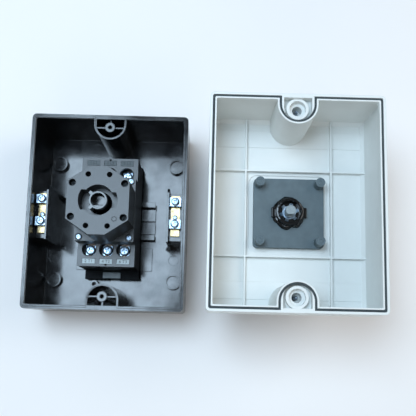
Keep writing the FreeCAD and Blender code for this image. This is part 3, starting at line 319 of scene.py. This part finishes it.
# ---- mesh helpers --------------------------------------------------------------------------------
SMOOTH_ANGLE = 32.0         # degrees; flatter edges than this are shaded smooth
SHARP_ANGLE = 38.0          # degrees; sharper edges than this are rounded
FLAT_ANGLE = 0.6            # degrees; flatter edges than this lie inside one flat face


def finish_of(node):
    """Name of the finish that a CAD node takes."""
    return NODE_FINISHES.get(node, SLOT_FINISHES[NODE_SLOTS[node]])


def finish_piece(name, bm, node, finish=None, replaces=True, smooth_angle=SMOOTH_ANGLE):
    """Turn a bmesh into a piece that rides with a CAD node's body."""
    mesh = bpy.data.meshes.new(name)
    bm.to_mesh(mesh)
    bm.free()
    for face in mesh.polygons:
        face.use_smooth = True
    mesh.set_sharp_from_angle(angle=math.radians(smooth_angle))
    mesh.materials.append(FINISHES[finish or finish_of(node)])
    piece = bpy.data.objects.new(name, mesh)
    bpy.context.scene.collection.objects.link(piece)
    flat = piece.modifiers.new("flat_faces_stay_flat", "WEIGHTED_NORMAL")
    flat.keep_sharp = True
    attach(piece, NODE_BODIES[node])
    if replaces:
        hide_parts(node)


def merged_copy(node):
    """A bmesh copy of a CAD node, its loose triangles merged and its flat faces made whole."""
    bm = bmesh.new()
    bm.from_mesh(frame["nodes"][node].data)
    bmesh.ops.remove_doubles(bm, verts=bm.verts, dist=CAD_GAP)
    bmesh.ops.dissolve_degenerate(bm, edges=bm.edges, dist=CAD_GAP)
    bmesh.ops.dissolve_limit(bm, angle_limit=math.radians(FLAT_ANGLE), verts=bm.verts,
                             edges=bm.edges, use_dissolve_boundaries=False, delimit=set())
    return bm


def separate_boxes(node):
    """Low and high corner of every separate solid in a CAD node."""
    bm = bmesh.new()
    bm.from_mesh(frame["nodes"][node].data)
    bmesh.ops.remove_doubles(bm, verts=bm.verts, dist=CAD_GAP)
    waiting = set(bm.verts)
    boxes = []
    while waiting:
        group = [waiting.pop()]
        for vert in group:
            for edge in vert.link_edges:
                other = edge.other_vert(vert)
                if other in waiting:
                    waiting.discard(other)
                    group.append(other)
        low = Vector([min(v.co[i] for v in group) for i in range(3)])
        high = Vector([max(v.co[i] for v in group) for i in range(3)])
        boxes.append((low, high))
    bm.free()
    return sorted(boxes, key=lambda pair: (round(pair[0].y, 4), pair[0].x))


def ease_edges(bm, width, segments):
    """Round every edge that is sharp, and drop the slivers that this leaves."""
    sharp = [edge for edge in bm.edges if edge.is_manifold
             and edge.calc_face_angle(0.0) > math.radians(SHARP_ANGLE)]
    bmesh.ops.bevel(bm, geom=sharp, offset=width, offset_type="OFFSET", segments=segments,
                    profile=0.5, affect="EDGES", clamp_overlap=True, material=-1,
                    loop_slide=True)
    bmesh.ops.dissolve_degenerate(bm, edges=bm.edges, dist=CAD_GAP)


def turned(bm, profile, centre, steps):
    """Spin a half profile of (radius, height) points round the upright axis at centre."""
    row = [bm.verts.new((centre.x + radius, centre.y, centre.z + height))
           for radius, height in profile]
    edges = [bm.edges.new(pair) for pair in zip(row, row[1:])]
    bmesh.ops.spin(bm, geom=row + edges, cent=centre, axis=(0, 0, 1), dvec=(0, 0, 0),
                   angle=math.tau, steps=steps, use_merge=True, use_duplicate=False)
    bmesh.ops.remove_doubles(bm, verts=bm.verts, dist=MESH_GAP)


def close_normals(bm):
    """Merge doubles and turn every face outwards."""
    bmesh.ops.remove_doubles(bm, verts=bm.verts, dist=MESH_GAP)
    bmesh.ops.recalc_face_normals(bm, faces=bm.faces)


# ---- screws --------------------------------------------------------------------------------------
# Head height and shank radius of each set of screws, in millimetres, and how many turns of thread.
SCREWS = {
    "terminal_screws": (2.6, 1.9, 9),
    "earth_clamp_screws": (2.5, 1.8, 11),
    "neutral_clamp_screws": (2.5, 1.8, 11),
    "earth_fixing_screw": (1.6, 1.3, 8),
    "neutral_fixing_screw": (1.6, 1.3, 8),
    "mechanism_screws": (2.0, 1.4, 9),
    "front_block_screws": (2.2, 1.4, 9),
    "cover_screw_top": (3.2, 1.6, 10),
    "cover_screw_bottom": (3.2, 1.6, 10),
}
LAND = 0.62                 # flat top of a head, as a share of its radius
# The rest of the head's outline, as shares of its radius and of its height from the top down.
PAN_OUTLINE = ((0.80, 0.05), (0.93, 0.20), (1.0, 0.48), (1.0, 0.90), (0.96, 1.0))
RECESS_SLOT = 0.13          # half width of the recess's arms, as a share of the head's radius
RECESS_ARM = 0.52           # length of an arm from the middle, as the same share
RECESS_DEPTH = 0.62         # depth of the recess, as a share of the head's height
RECESS_TAPER = 0.62         # size of the recess's floor, as a share of its mouth
NECK_END = 0.12             # where the plain neck ends, as a share of the shank
ROOT_START = 0.14           # where the shank has narrowed to the thread's root
THREAD_START = 0.16         # where the ridge of the thread starts
POINT_SHARE = 0.35          # flat end of the point, as a share of the shank's radius
HEAD_STEPS = 32             # sides of a turned head
THREAD_STEPS = 14           # steps in one turn of the thread
THREAD_CREST, THREAD_FOOT = 0.35, 0.7  # crest and lower foot of the ridge, as shares of its pitch
FIRST_TURN, NEXT_TURN = 24, 37         # degrees by which the first and each next cross is turned


def pan_screw(head_radius, head_height, shank, length, thread_depth, turns):
    """Pan-head screw with a tapered cross recess, its head's top at the origin, pointing down."""
    bm = bmesh.new()
    land = LAND * head_radius
    low = -head_height
    below = length - head_height
    root = shank - thread_depth
    head = [(across * head_radius, -down * head_height) for across, down in PAN_OUTLINE]
    turned(bm, [(land, 0.0), *head, (shank, low), (shank, low - NECK_END * below),
                (root, low - ROOT_START * below), (root, -length + shank),
                (POINT_SHARE * shank, -length), (0.0, -length)], Vector(), HEAD_STEPS)
    rim = [edge for edge in bm.edges
           if all(abs(v.co.z) < LEVEL and v.co.xy.length < 1.01 * land for v in edge.verts)]
    recess = cross_recess(bm, RECESS_SLOT * head_radius, RECESS_ARM * head_radius,
                          RECESS_DEPTH * head_height)
    bmesh.ops.triangle_fill(bm, use_beauty=True, use_dissolve=False, edges=rim + recess)
    close_normals(bm)
    helical_thread(bm, shank, thread_depth, low - THREAD_START * below, -length + shank, turns)
    return bm


def cross_recess(bm, half_slot, arm, depth):
    """Sink a cross into the plane z = 0 and return the edges of its mouth."""
    made = bmesh.ops.create_grid(bm, x_segments=1, y_segments=1, size=half_slot)
    middle = made["verts"][0].link_faces[0]
    cross = [middle]
    for edge in list(middle.edges):
        away = (edge.verts[0].co + edge.verts[1].co).normalized() * (arm - half_slot)
        drawn = bmesh.ops.extrude_edge_only(bm, edges=[edge])["geom"]
        tips = [g for g in drawn if isinstance(g, bmesh.types.BMVert)]
        bmesh.ops.translate(bm, vec=away, verts=tips)
        cross += [g for g in drawn if isinstance(g, bmesh.types.BMFace)]
    mouth = [edge for edge in {e for face in cross for e in face.edges}
             if sum(face in cross for face in edge.link_faces) == 1]
    mouth.sort(key=lambda e: (e.verts[0].co + e.verts[1].co).to_tuple(7))
    bmesh.ops.delete(bm, geom=cross, context="FACES_KEEP_BOUNDARY")
    drawn = bmesh.ops.extrude_edge_only(bm, edges=mouth)["geom"]
    floor = [g for g in drawn if isinstance(g, bmesh.types.BMVert)]
    bmesh.ops.translate(bm, vec=(0, 0, -depth), verts=floor)
    bmesh.ops.scale(bm, vec=(RECESS_TAPER, RECESS_TAPER, 1.0), verts=floor)
    bottom = [g for g in drawn if isinstance(g, bmesh.types.BMEdge)
              and all(v in floor for v in g.verts)]
    bmesh.ops.triangle_fill(bm, use_beauty=True, use_dissolve=False, edges=bottom)
    return mouth


def helical_thread(bm, crest, depth, start, end, turns):
    """Wind one thread ridge round the shank between two heights."""
    sunk = 0.05 * MM        # how far the ridge's foot reaches into the shank
    root = crest - depth - sunk
    pitch = (start - end) / (turns + 1)
    row = [bm.verts.new((root, 0, start)),
           bm.verts.new((crest, 0, start - THREAD_CREST * pitch)),
           bm.verts.new((root, 0, start - THREAD_FOOT * pitch))]
    loop = [bm.edges.new((row[i], row[(i + 1) % 3])) for i in range(3)]
    made = bmesh.ops.spin(bm, geom=row + loop, cent=(0, 0, 0), axis=(0, 0, 1),
                          dvec=(0, 0, -pitch / THREAD_STEPS), angle=math.tau * turns,
                          steps=THREAD_STEPS * turns, use_merge=False, use_duplicate=False)
    last = [g for g in made["geom_last"] if isinstance(g, bmesh.types.BMVert)]
    ends = [bm.faces.new(row), bm.faces.new(last)]
    island = set(ends)
    stack = list(ends)
    while stack:
        face = stack.pop()
        for edge in face.edges:
            for other in edge.link_faces:
                if other not in island:
                    island.add(other)
                    stack.append(other)
    bmesh.ops.recalc_face_normals(bm, faces=list(island))


def screw_set(node, sizes):
    """All screws of one CAD node as one piece; the cover's point the other way."""
    head_height, shank, turns = SCREWS[node]
    whole = bmesh.new()
    turned_over = node.startswith("cover_")
    for index, (low, high) in enumerate(separate_boxes(node)):
        one = pan_screw((high.x - low.x) / 2, head_height * MM, shank * MM, high.z - low.z,
                        sizes.thread_depth, turns)
        spin = Matrix.Rotation(math.radians(FIRST_TURN + NEXT_TURN * index), 4, "Z")
        flip = Matrix.Rotation(math.pi, 4, "Y") if turned_over else Matrix()
        top = Vector(((low.x + high.x) / 2, (low.y + high.y) / 2,
                      low.z if turned_over else high.z))
        one.transform(Matrix.Translation(top) @ flip @ spin)
        part = bpy.data.meshes.new("screw")
        one.to_mesh(part)
        one.free()
        whole.from_mesh(part)
        bpy.data.meshes.remove(part)
    finish_piece(node + "_turned", whole, node)


# ---- operators -----------------------------------------------------------------------------------
class IsolatorOperator:
    """What every operator of the isolator shares."""

    bl_options = {"REGISTER", "UNDO"}

    @staticmethod
    def sizes():
        return bpy.context.scene.isolator_sizes

    @staticmethod
    def colours():
        return bpy.context.scene.isolator_colours


class ISOLATOR_OT_stage(IsolatorOperator, bpy.types.Operator):
    """Lay the pale floor, hang the soft lights and set the camera"""

    bl_idname = "isolator.stage"
    bl_label = "Stage and camera"

    floor_size = 2.5                    # metres
    floor_drop = 0.3 * MM               # keeps the floor clear of the box's underside
    room_colour = "#EDF3F8"
    room_strength = 0.3
    lens = 48.98                        # millimetres, on a sensor that is 36 mm wide
    lens_shift = 0.101                  # share of the frame's width
    camera_place = (0.08253, -0.09593, 0.52142)
    heading, pitch, roll = 1.44, 7.97, -0.55    # degrees

    def execute(self, context):
        scene = context.scene
        bm = bmesh.new()
        bmesh.ops.create_grid(bm, x_segments=1, y_segments=1, size=self.floor_size)
        bmesh.ops.translate(bm, vec=(0, 0, -self.floor_drop), verts=bm.verts)
        mesh = bpy.data.meshes.new("studio_floor")
        bm.to_mesh(mesh)
        bm.free()
        mesh.materials.append(FINISHES["floor"])
        floor = bpy.data.objects.new("studio_floor", mesh)
        scene.collection.objects.link(floor)

        # Name, place, aim, width and depth in metres, power in watts and colour.
        soft_boxes = (
            ("window_softbox", (-0.19, 0.15, 1.00), (-0.10, 0.10, 0.0), 0.52, 0.50, 9.3, "#CFE9FF"),
            ("right_softbox", (1.05, 0.25, 0.95), (0.10, 0.0, 0.05), 0.8, 0.8, 6.5, "#FDFCFA"),
            ("front_softbox", (0.10, -1.20, 0.70), (0.08, 0.0, 0.05), 1.0, 0.6, 3.0, "#FDFCFA"),
        )
        for name, place, aim, width, depth, power, colour in soft_boxes:
            light = bpy.data.lights.new(name, "AREA")
            light.shape = "RECTANGLE"
            light.size = width
            light.size_y = depth
            light.energy = power
            light.color = linear(colour)
            lamp = bpy.data.objects.new(name, light)
            lamp.location = place
            towards = Vector(aim) - Vector(place)
            lamp.rotation_euler = towards.to_track_quat("-Z", "Y").to_euler()
            scene.collection.objects.link(lamp)

        world = bpy.data.worlds.new("studio_room")
        world.use_nodes = True
        tree = world.node_tree
        tree.nodes.clear()
        sky = add(tree, "ShaderNodeBackground",
                  inputs={"Color": (*linear(self.room_colour), 1.0),
                          "Strength": self.room_strength})
        add(tree, "ShaderNodeOutputWorld", inputs={"Surface": sky.outputs[0]})
        scene.world = world
        scene.view_settings.view_transform = "Standard"

        lens = bpy.data.cameras.new("studio_camera")
        lens.sensor_width = 36.0
        lens.lens = self.lens
        lens.shift_y = self.lens_shift
        lens.clip_start = 0.01
        camera = bpy.data.objects.new("studio_camera", lens)
        camera.matrix_world = (Matrix.Translation(self.camera_place)
                               @ Matrix.Rotation(math.radians(self.heading), 4, "Z")
                               @ Matrix.Rotation(math.radians(self.pitch), 4, "X")
                               @ Matrix.Rotation(math.radians(self.roll), 4, "Y"))
        scene.collection.objects.link(camera)
        scene.camera = camera
        return {"FINISHED"}


class ISOLATOR_OT_finishes(IsolatorOperator, bpy.types.Operator):
    """Make the finishes and give every CAD node the finish of its slot"""

    bl_idname = "isolator.finishes"
    bl_label = "Finishes"

    def execute(self, context):
        FINISHES.update(make_finishes(self.colours()))
        for node, obj in frame["nodes"].items():
            finish = FINISHES[finish_of(node)]
            if not obj.data.materials:
                obj.data.materials.append(finish)
            for slot in obj.material_slots:
                slot.link = "OBJECT"
                slot.material = finish
        return {"FINISHED"}


class ISOLATOR_OT_eased_mouldings(IsolatorOperator, bpy.types.Operator):
    """Round the edges of the switch's housings, the handle's plate and the small mouldings"""

    bl_idname = "isolator.eased_mouldings"
    bl_label = "Eased mouldings"

    def execute(self, context):
        sizes = self.sizes()
        mouldings = {
            "octagon_front_block": sizes.housing_ease, "mechanism_housing": sizes.housing_ease,
            "switch_housing": sizes.housing_ease, "mounting_foot": sizes.housing_ease,
            "earth_terminal_holder": sizes.housing_ease,
            "neutral_terminal_holder": sizes.housing_ease,
            "din_latch": sizes.housing_ease, "rotor_hub": sizes.metal_ease,
            "handle_backing_plate": sizes.plate_ease, "padlock_slider": sizes.plate_ease,
            "handle_escutcheon": sizes.plate_ease,
        }
        for node, width in mouldings.items():
            bm = merged_copy(node)
            ease_edges(bm, width, 2)
            if node == "handle_backing_plate":
                self.dish_posts(bm)
            finish_piece(node + "_eased", bm, node)
        return {"FINISHED"}

    @staticmethod
    def dish_posts(bm):
        """Sink a shallow dish into the top of each of the plate's posts."""
        rim, slope, dish = 0.5 * MM, 0.35 * MM, 0.6 * MM
        top = max(vert.co.z for vert in bm.verts)
        ends = [face for face in bm.faces if face.normal.z > 0.99
                and all(vert.co.z > top - LEVEL for vert in face.verts)]
        for width, sink in ((rim, 0.0), (slope, -dish)):
            bmesh.ops.inset_region(bm, faces=ends, thickness=width, depth=sink,
                                   use_boundary=True, use_even_offset=True)


class ISOLATOR_OT_clamps(IsolatorOperator, bpy.types.Operator):
    """Round the cut edges of the clamps, saddles and bars"""

    bl_idname = "isolator.clamps"
    bl_label = "Clamps, saddles and bars"

    def execute(self, context):
        width = self.sizes().metal_ease
        for node in ("terminal_clamps", "earth_clamp_saddles", "neutral_clamp_saddles",
                     "earth_bar", "neutral_bar"):
            bm = merged_copy(node)
            ease_edges(bm, width, 2)
            finish_piece(node + "_eased", bm, node)
        return {"FINISHED"}


class ISOLATOR_OT_screws(IsolatorOperator, bpy.types.Operator):
    """Make the cross-recess screws of the terminals, the switch and the cover"""

    bl_idname = "isolator.screws"
    bl_label = "Screws"

    def execute(self, context):
        for node in SCREWS:
            screw_set(node, self.sizes())
        return {"FINISHED"}


class ISOLATOR_OT_seals(IsolatorOperator, bpy.types.Operator):
    """Lay the soft seal cord in the cover's groove and the washers under its screws"""

    bl_idname = "isolator.seals"
    bl_label = "Seals"

    ripple = 0.05 * MM          # how far the cord's top strays from flat
    ripple_length = 9 * MM
    washer_gap = 0.06 * MM      # a washer only meets its seat when it is squeezed

    def execute(self, context):
        ease = self.sizes().seal_ease
        for node, name in (("cover_gasket", "seal_cord"), ("shaft_seal", "shaft_seal_ring"),
                           ("cover_screw_seal_top", "screw_washer_top"),
                           ("cover_screw_seal_bottom", "screw_washer_bottom")):
            bm = merged_copy(node)
            ease_edges(bm, ease, 3)
            if node == "cover_gasket":
                for vert in bm.verts:
                    vert.co.z += self.ripple * noise.noise(vert.co / self.ripple_length)
            else:
                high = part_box(node)[1]
                for vert in bm.verts:
                    if vert.co.z > high.z - LEVEL:
                        vert.co.z -= self.washer_gap
            finish_piece(name, bm, node, smooth_angle=60.0)
        return {"FINISHED"}


class ISOLATOR_OT_hub(IsolatorOperator, bpy.types.Operator):
    """Make the driving hub with its uneven greased edge"""

    bl_idname = "isolator.hub"
    bl_label = "Driving hub"

    head_radius = 11.3 * MM
    bore = 8.8 * MM
    stem = 8.9 * MM
    pin_radius = 4.2 * MM
    head_height = 7.4 * MM
    web = 1.8 * MM
    wing_half = 4.2 * MM
    wing_height = 2.8 * MM
    wing_overlap = 1.0 * MM     # how far a wing reaches into the head
    wing_ease = 0.7 * MM
    rim_slope = 0.9 * MM        # outer edge of the head's end, as a slope with a bend in it
    rim_bend = 0.3 * MM
    bore_slope = 0.4 * MM
    side_rings = (2.4 * MM, 4.8 * MM)   # heights of rings that let the head's side stray
    bore_ring = 4.0 * MM        # the same in the bore
    broad_lump = 4.5 * MM       # widths of the unevenness
    fine_lump = 1.9 * MM
    bulge_limit = 0.2 * MM      # farthest that the head strays outwards
    hub_steps = 96              # sides of the turned hub
    grease_skirt = 0.2 * MM     # how far the grease reaches under the head's face
    grease_tuck = 0.6 * MM      # how far it starts inside the head's radius
    grease_limit = 14.3 * MM    # farthest that it spreads from the middle
    # The grease's outline, as shares of its reach outwards and of its rise.
    grease_outline = ((0.0, 1.0), (0.25, 1.0), (0.55, 0.8), (0.85, 0.45), (1.0, 0.05))
    grease_foot = 0.9           # share of the reach at which its underside ends
    broad_grease = 7.0 * MM     # widths of its lumps
    fine_grease = 2.2 * MM
    grease_film = 0.02 * MM     # its least height
    grease_steps = 120

    def execute(self, context):
        sizes = self.sizes()
        low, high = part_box("drive_hub")
        centre = Vector(((low.x + high.x) / 2, (low.y + high.y) / 2, 0.0))
        face = high.z - self.head_height
        bm = bmesh.new()
        side = [(self.head_radius, face + ring) for ring in self.side_rings]
        turned(bm, [(self.pin_radius, low.z), (self.stem, low.z), (self.stem, face),
                    (self.head_radius, face), *side,
                    (self.head_radius, high.z - self.rim_slope),
                    (self.head_radius - self.rim_bend, high.z - self.rim_bend),
                    (self.head_radius - self.rim_slope, high.z),
                    (self.bore + self.bore_slope, high.z),
                    (self.bore, high.z - self.bore_slope), (self.bore, face + self.bore_ring),
                    (self.bore, face + self.web), (self.pin_radius, face + self.web),
                    (self.pin_radius, low.z)], centre, self.hub_steps)
        for vert in bm.verts:
            out = vert.co - centre
            radius = out.xy.length
            if vert.co.z > face + 0.5 * MM and radius > self.bore - 0.1 * MM:
                lump = (noise.noise(vert.co / self.broad_lump)
                        + 0.5 * noise.noise(vert.co / self.fine_lump))
                reach = min(radius + sizes.hub_unevenness * lump,
                            self.head_radius + self.bulge_limit)
                vert.co.x = centre.x + out.x / radius * reach
                vert.co.y = centre.y + out.y / radius * reach
                if vert.co.z < high.z - 1.2 * MM:
                    continue
                vert.co.z = min(high.z, vert.co.z - abs(lump) * 0.6 * sizes.hub_unevenness)
        close_normals(bm)
        finish_piece("greased_drive_hub", bm, "drive_hub")
        self.make_wings(centre, face, low, high)
        self.make_grease(centre, face, sizes)
        return {"FINISHED"}

    def make_wings(self, centre, face, low, high):
        """Two driving wings beside the head."""
        bm = bmesh.new()
        inner = self.head_radius - self.wing_overlap
        outer = (high.x - low.x) / 2
        for side in (-1, 1):
            made = bmesh.ops.create_cube(bm, size=1.0)["verts"]
            bmesh.ops.scale(bm, vec=(outer - inner, 2 * self.wing_half, self.wing_height),
                            verts=made)
            place = centre + Vector((side * (outer + inner) / 2, 0, face + self.wing_height / 2))
            bmesh.ops.translate(bm, vec=place, verts=made)
        bmesh.ops.bevel(bm, geom=bm.edges[:], offset=self.wing_ease, offset_type="OFFSET",
                        segments=3, profile=0.5, affect="EDGES", clamp_overlap=True, material=-1)
        finish_piece("drive_hub_wings", bm, "drive_hub", replaces=False)

    def make_grease(self, centre, face, sizes):
        """Lumpy grease that was pushed out round the hub's foot."""
        bm = bmesh.new()
        start = self.head_radius - self.grease_tuck
        reach = sizes.grease_reach
        rise = sizes.grease_rise
        under = face - self.grease_skirt
        hump = [(start + out * reach, face + up * rise) for out, up in self.grease_outline]
        turned(bm, [(start, under), *hump, (start + self.grease_foot * reach, under),
                    (start, under)], centre, self.grease_steps)
        for vert in bm.verts:
            out = vert.co - centre
            radius = out.xy.length
            if radius < start + 0.1 * MM:
                continue
            broad = noise.noise(Vector((out.x, out.y, 0)) / self.broad_grease)
            fine = noise.noise(vert.co / self.fine_grease)
            share = (radius - start) / reach
            far = start + reach * share * (0.86 + 0.6 * broad + 0.25 * fine)
            far = max(start + 0.15 * MM, min(far, self.grease_limit))
            vert.co.x = centre.x + out.x / radius * far
            vert.co.y = centre.y + out.y / radius * far
            if vert.co.z > face:
                height = (vert.co.z - face) * (0.75 + 0.7 * broad + 0.35 * fine)
                vert.co.z = face + max(self.grease_film, height)
        close_normals(bm)
        bmesh.ops.smooth_vert(bm, verts=bm.verts, factor=0.4, use_axis_x=True, use_axis_y=True,
                              use_axis_z=True)
        finish_piece("hub_grease", bm, "drive_hub", replaces=False, smooth_angle=80.0)


class ISOLATOR_OT_star(IsolatorOperator, bpy.types.Operator):
    """Press the bright star washer that grips the drive pin"""

    bl_idname = "isolator.star"
    bl_label = "Star washer"

    hole = 4.25 * MM
    ring = 5.5 * MM
    sheet = 0.45 * MM
    sides = 24                  # sides of the ring; two in every four of them carry a tooth
    # Each tooth's two bends, as shares of its reach and of its rise.
    bends = ((0.35, 0.25), (0.65, 0.62))

    def execute(self, context):
        low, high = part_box("coupling_spider")
        centre = Vector(((low.x + high.x) / 2, (low.y + high.y) / 2, low.z))
        reach = (high.x - low.x) / 2
        rise = high.z - low.z
        bm = bmesh.new()
        inner = bmesh.ops.create_circle(bm, cap_ends=False, segments=self.sides,
                                        radius=self.hole)["verts"]
        loop = list({edge for vert in inner for edge in vert.link_edges})
        drawn = bmesh.ops.extrude_edge_only(bm, edges=loop)["geom"]
        outer = [g for g in drawn if isinstance(g, bmesh.types.BMVert)]
        wider = self.ring / self.hole
        bmesh.ops.scale(bm, vec=(wider, wider, 1.0), verts=outer)
        rim = [g for g in drawn if isinstance(g, bmesh.types.BMEdge)
               and all(v in outer for v in g.verts)]
        rim.sort(key=lambda e: math.atan2(e.verts[0].co.y + e.verts[1].co.y,
                                          e.verts[0].co.x + e.verts[1].co.x))
        for first in range(0, self.sides, 4):
            pair = rim[first:first + 2]
            away = sum((v.co for edge in pair for v in edge.verts), Vector()).normalized()
            for stretch, lift in self.bends:
                drawn = bmesh.ops.extrude_edge_only(bm, edges=pair)["geom"]
                tips = [g for g in drawn if isinstance(g, bmesh.types.BMVert)]
                bmesh.ops.translate(bm, verts=tips, vec=away * (reach - self.ring) * stretch
                                    + Vector((0, 0, lift * (rise - self.sheet))))
                pair = [g for g in drawn if isinstance(g, bmesh.types.BMEdge)
                        and all(v in tips for v in g.verts)]
        bmesh.ops.recalc_face_normals(bm, faces=bm.faces)
        for face in bm.faces:
            if face.normal.z < 0:
                face.normal_flip()
        bmesh.ops.translate(bm, vec=centre + Vector((0, 0, self.sheet)), verts=bm.verts)
        bmesh.ops.solidify(bm, geom=bm.faces[:], thickness=self.sheet)
        bmesh.ops.recalc_face_normals(bm, faces=bm.faces)
        finish_piece("star_washer", bm, "coupling_spider")
        return {"FINISHED"}


class ISOLATOR_OT_marks(IsolatorOperator, bpy.types.Operator):
    """Print the terminal numbers and the dial's off and on marks"""

    bl_idname = "isolator.marks"
    bl_label = "Numbers and marks"

    dial_inset = 2.8 * MM       # middle of a dial mark, in from the escutcheon's edge

    @staticmethod
    def lettering(bm, words, height, thickness, matrix):
        """Add one short mark to a bmesh as thin raised letters."""
        font_share = 1.35       # a font's size over the height of its capitals
        curve = bpy.data.curves.new("mark", "FONT")
        curve.body = words
        curve.size = height * font_share
        curve.extrude = thickness / 2
        curve.align_x = "CENTER"
        curve.align_y = "CENTER"
        curve.resolution_u = 3
        maker = bpy.data.objects.new("mark", curve)
        bpy.context.scene.collection.objects.link(maker)
        mesh = bpy.data.meshes.new_from_object(
            maker.evaluated_get(bpy.context.evaluated_depsgraph_get()))
        mesh.transform(matrix)
        bm.from_mesh(mesh)
        bpy.data.objects.remove(maker)
        bpy.data.meshes.remove(mesh)

    def execute(self, context):
        sizes = self.sizes()
        thick = sizes.print_thickness
        for node, words in (("marker_strip_bottom", ("2 T1", "4 T2", "6 T3")),
                            ("marker_strip_top", ("1 L1", "3 L2", "5 L3"))):
            bm = bmesh.new()
            for (low, high), word in zip(separate_boxes(node), words):
                place = Vector(((low.x + high.x) / 2, (low.y + high.y) / 2, high.z))
                self.lettering(bm, word, sizes.number_height, thick, Matrix.Translation(place))
            finish_piece(node + "_numbers", bm, node, "ink", replaces=False)
        low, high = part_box("handle_escutcheon")
        centre = (low + high) / 2
        over = Matrix.Rotation(math.pi, 4, "Y")
        reach = (high.y - low.y) / 2 - self.dial_inset
        bm = bmesh.new()
        for word, across, along in (("0", 0.0, reach), ("I", -reach, 0.0)):
            place = Vector((centre.x + across, centre.y + along, low.z))
            self.lettering(bm, word, sizes.dial_height, thick, Matrix.Translation(place) @ over)
        finish_piece("dial_marks", bm, "handle_escutcheon", "dial_mark", replaces=False)
        return {"FINISHED"}


class ISOLATOR_OT_knob(IsolatorOperator, bpy.types.Operator):
    """Round the knob's edges and add its pointer line"""

    bl_idname = "isolator.knob"
    bl_label = "Knob"

    set_back = 0.2 * MM         # the grip's end, so that the pointer line stands proud of it
    line_width = 2.2 * MM
    line_length = 15.0 * MM
    line_thickness = 0.4 * MM
    line_inset = 13.0 * MM      # middle of the line, in from the knob's edge
    line_ease = 0.1 * MM

    def execute(self, context):
        sizes = self.sizes()
        bm = merged_copy("handle_knob")
        ease_edges(bm, sizes.plate_ease, 2)
        low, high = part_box("handle_knob")
        middle = (low + high) / 2
        for vert in bm.verts:
            if vert.co.z < low.z + LEVEL:
                vert.co.z += self.set_back
        finish_piece("turning_knob", bm, "handle_knob")
        bm = bmesh.new()
        made = bmesh.ops.create_cube(bm, size=1.0)["verts"]
        bmesh.ops.scale(bm, vec=(self.line_width, self.line_length, self.line_thickness),
                        verts=made)
        bmesh.ops.translate(bm, verts=made, vec=(middle.x, high.y - self.line_inset,
                                                 low.z + self.line_thickness / 2))
        bmesh.ops.bevel(bm, geom=bm.edges[:], offset=self.line_ease, offset_type="OFFSET",
                        segments=2, profile=0.5, affect="EDGES", clamp_overlap=True, material=-1)
        finish_piece("pointer_line", bm, "handle_knob", "dial_mark", replaces=False)
        return {"FINISHED"}


class ISOLATOR_PT_panel(bpy.types.Panel):
    """The isolator's sizes, colours and makers"""

    bl_idname = "ISOLATOR_PT_panel"
    bl_label = "Rotary isolator"
    bl_space_type = "VIEW_3D"
    bl_region_type = "UI"
    bl_category = "Isolator"

    def draw(self, context):
        for group in (context.scene.isolator_sizes, context.scene.isolator_colours):
            box = self.layout.box()
            for name in group.__annotations__:
                box.prop(group, name)
        for maker in MAKERS:
            self.layout.operator(maker.bl_idname)


MAKERS = (ISOLATOR_OT_finishes, ISOLATOR_OT_stage, ISOLATOR_OT_eased_mouldings,
          ISOLATOR_OT_clamps, ISOLATOR_OT_screws, ISOLATOR_OT_seals, ISOLATOR_OT_hub,
          ISOLATOR_OT_star, ISOLATOR_OT_marks, ISOLATOR_OT_knob)
CLASSES = (IsolatorColours, IsolatorSizes) + MAKERS + (ISOLATOR_PT_panel,)


def register():
    """Register the classes and the scene's properties."""
    for each in CLASSES:
        bpy.utils.register_class(each)
    bpy.types.Scene.isolator_colours = PointerProperty(type=IsolatorColours)
    bpy.types.Scene.isolator_sizes = PointerProperty(type=IsolatorSizes)


def unregister():
    """Remove the scene's properties and the classes."""
    del bpy.types.Scene.isolator_sizes
    del bpy.types.Scene.isolator_colours
    for each in reversed(CLASSES):
        bpy.utils.unregister_class(each)


def main():
    """Build the whole isolator."""
    register()
    for maker in MAKERS:
        area, name = maker.bl_idname.split(".")
        getattr(getattr(bpy.ops, area), name)()


if __name__ == "__main__":
    main()
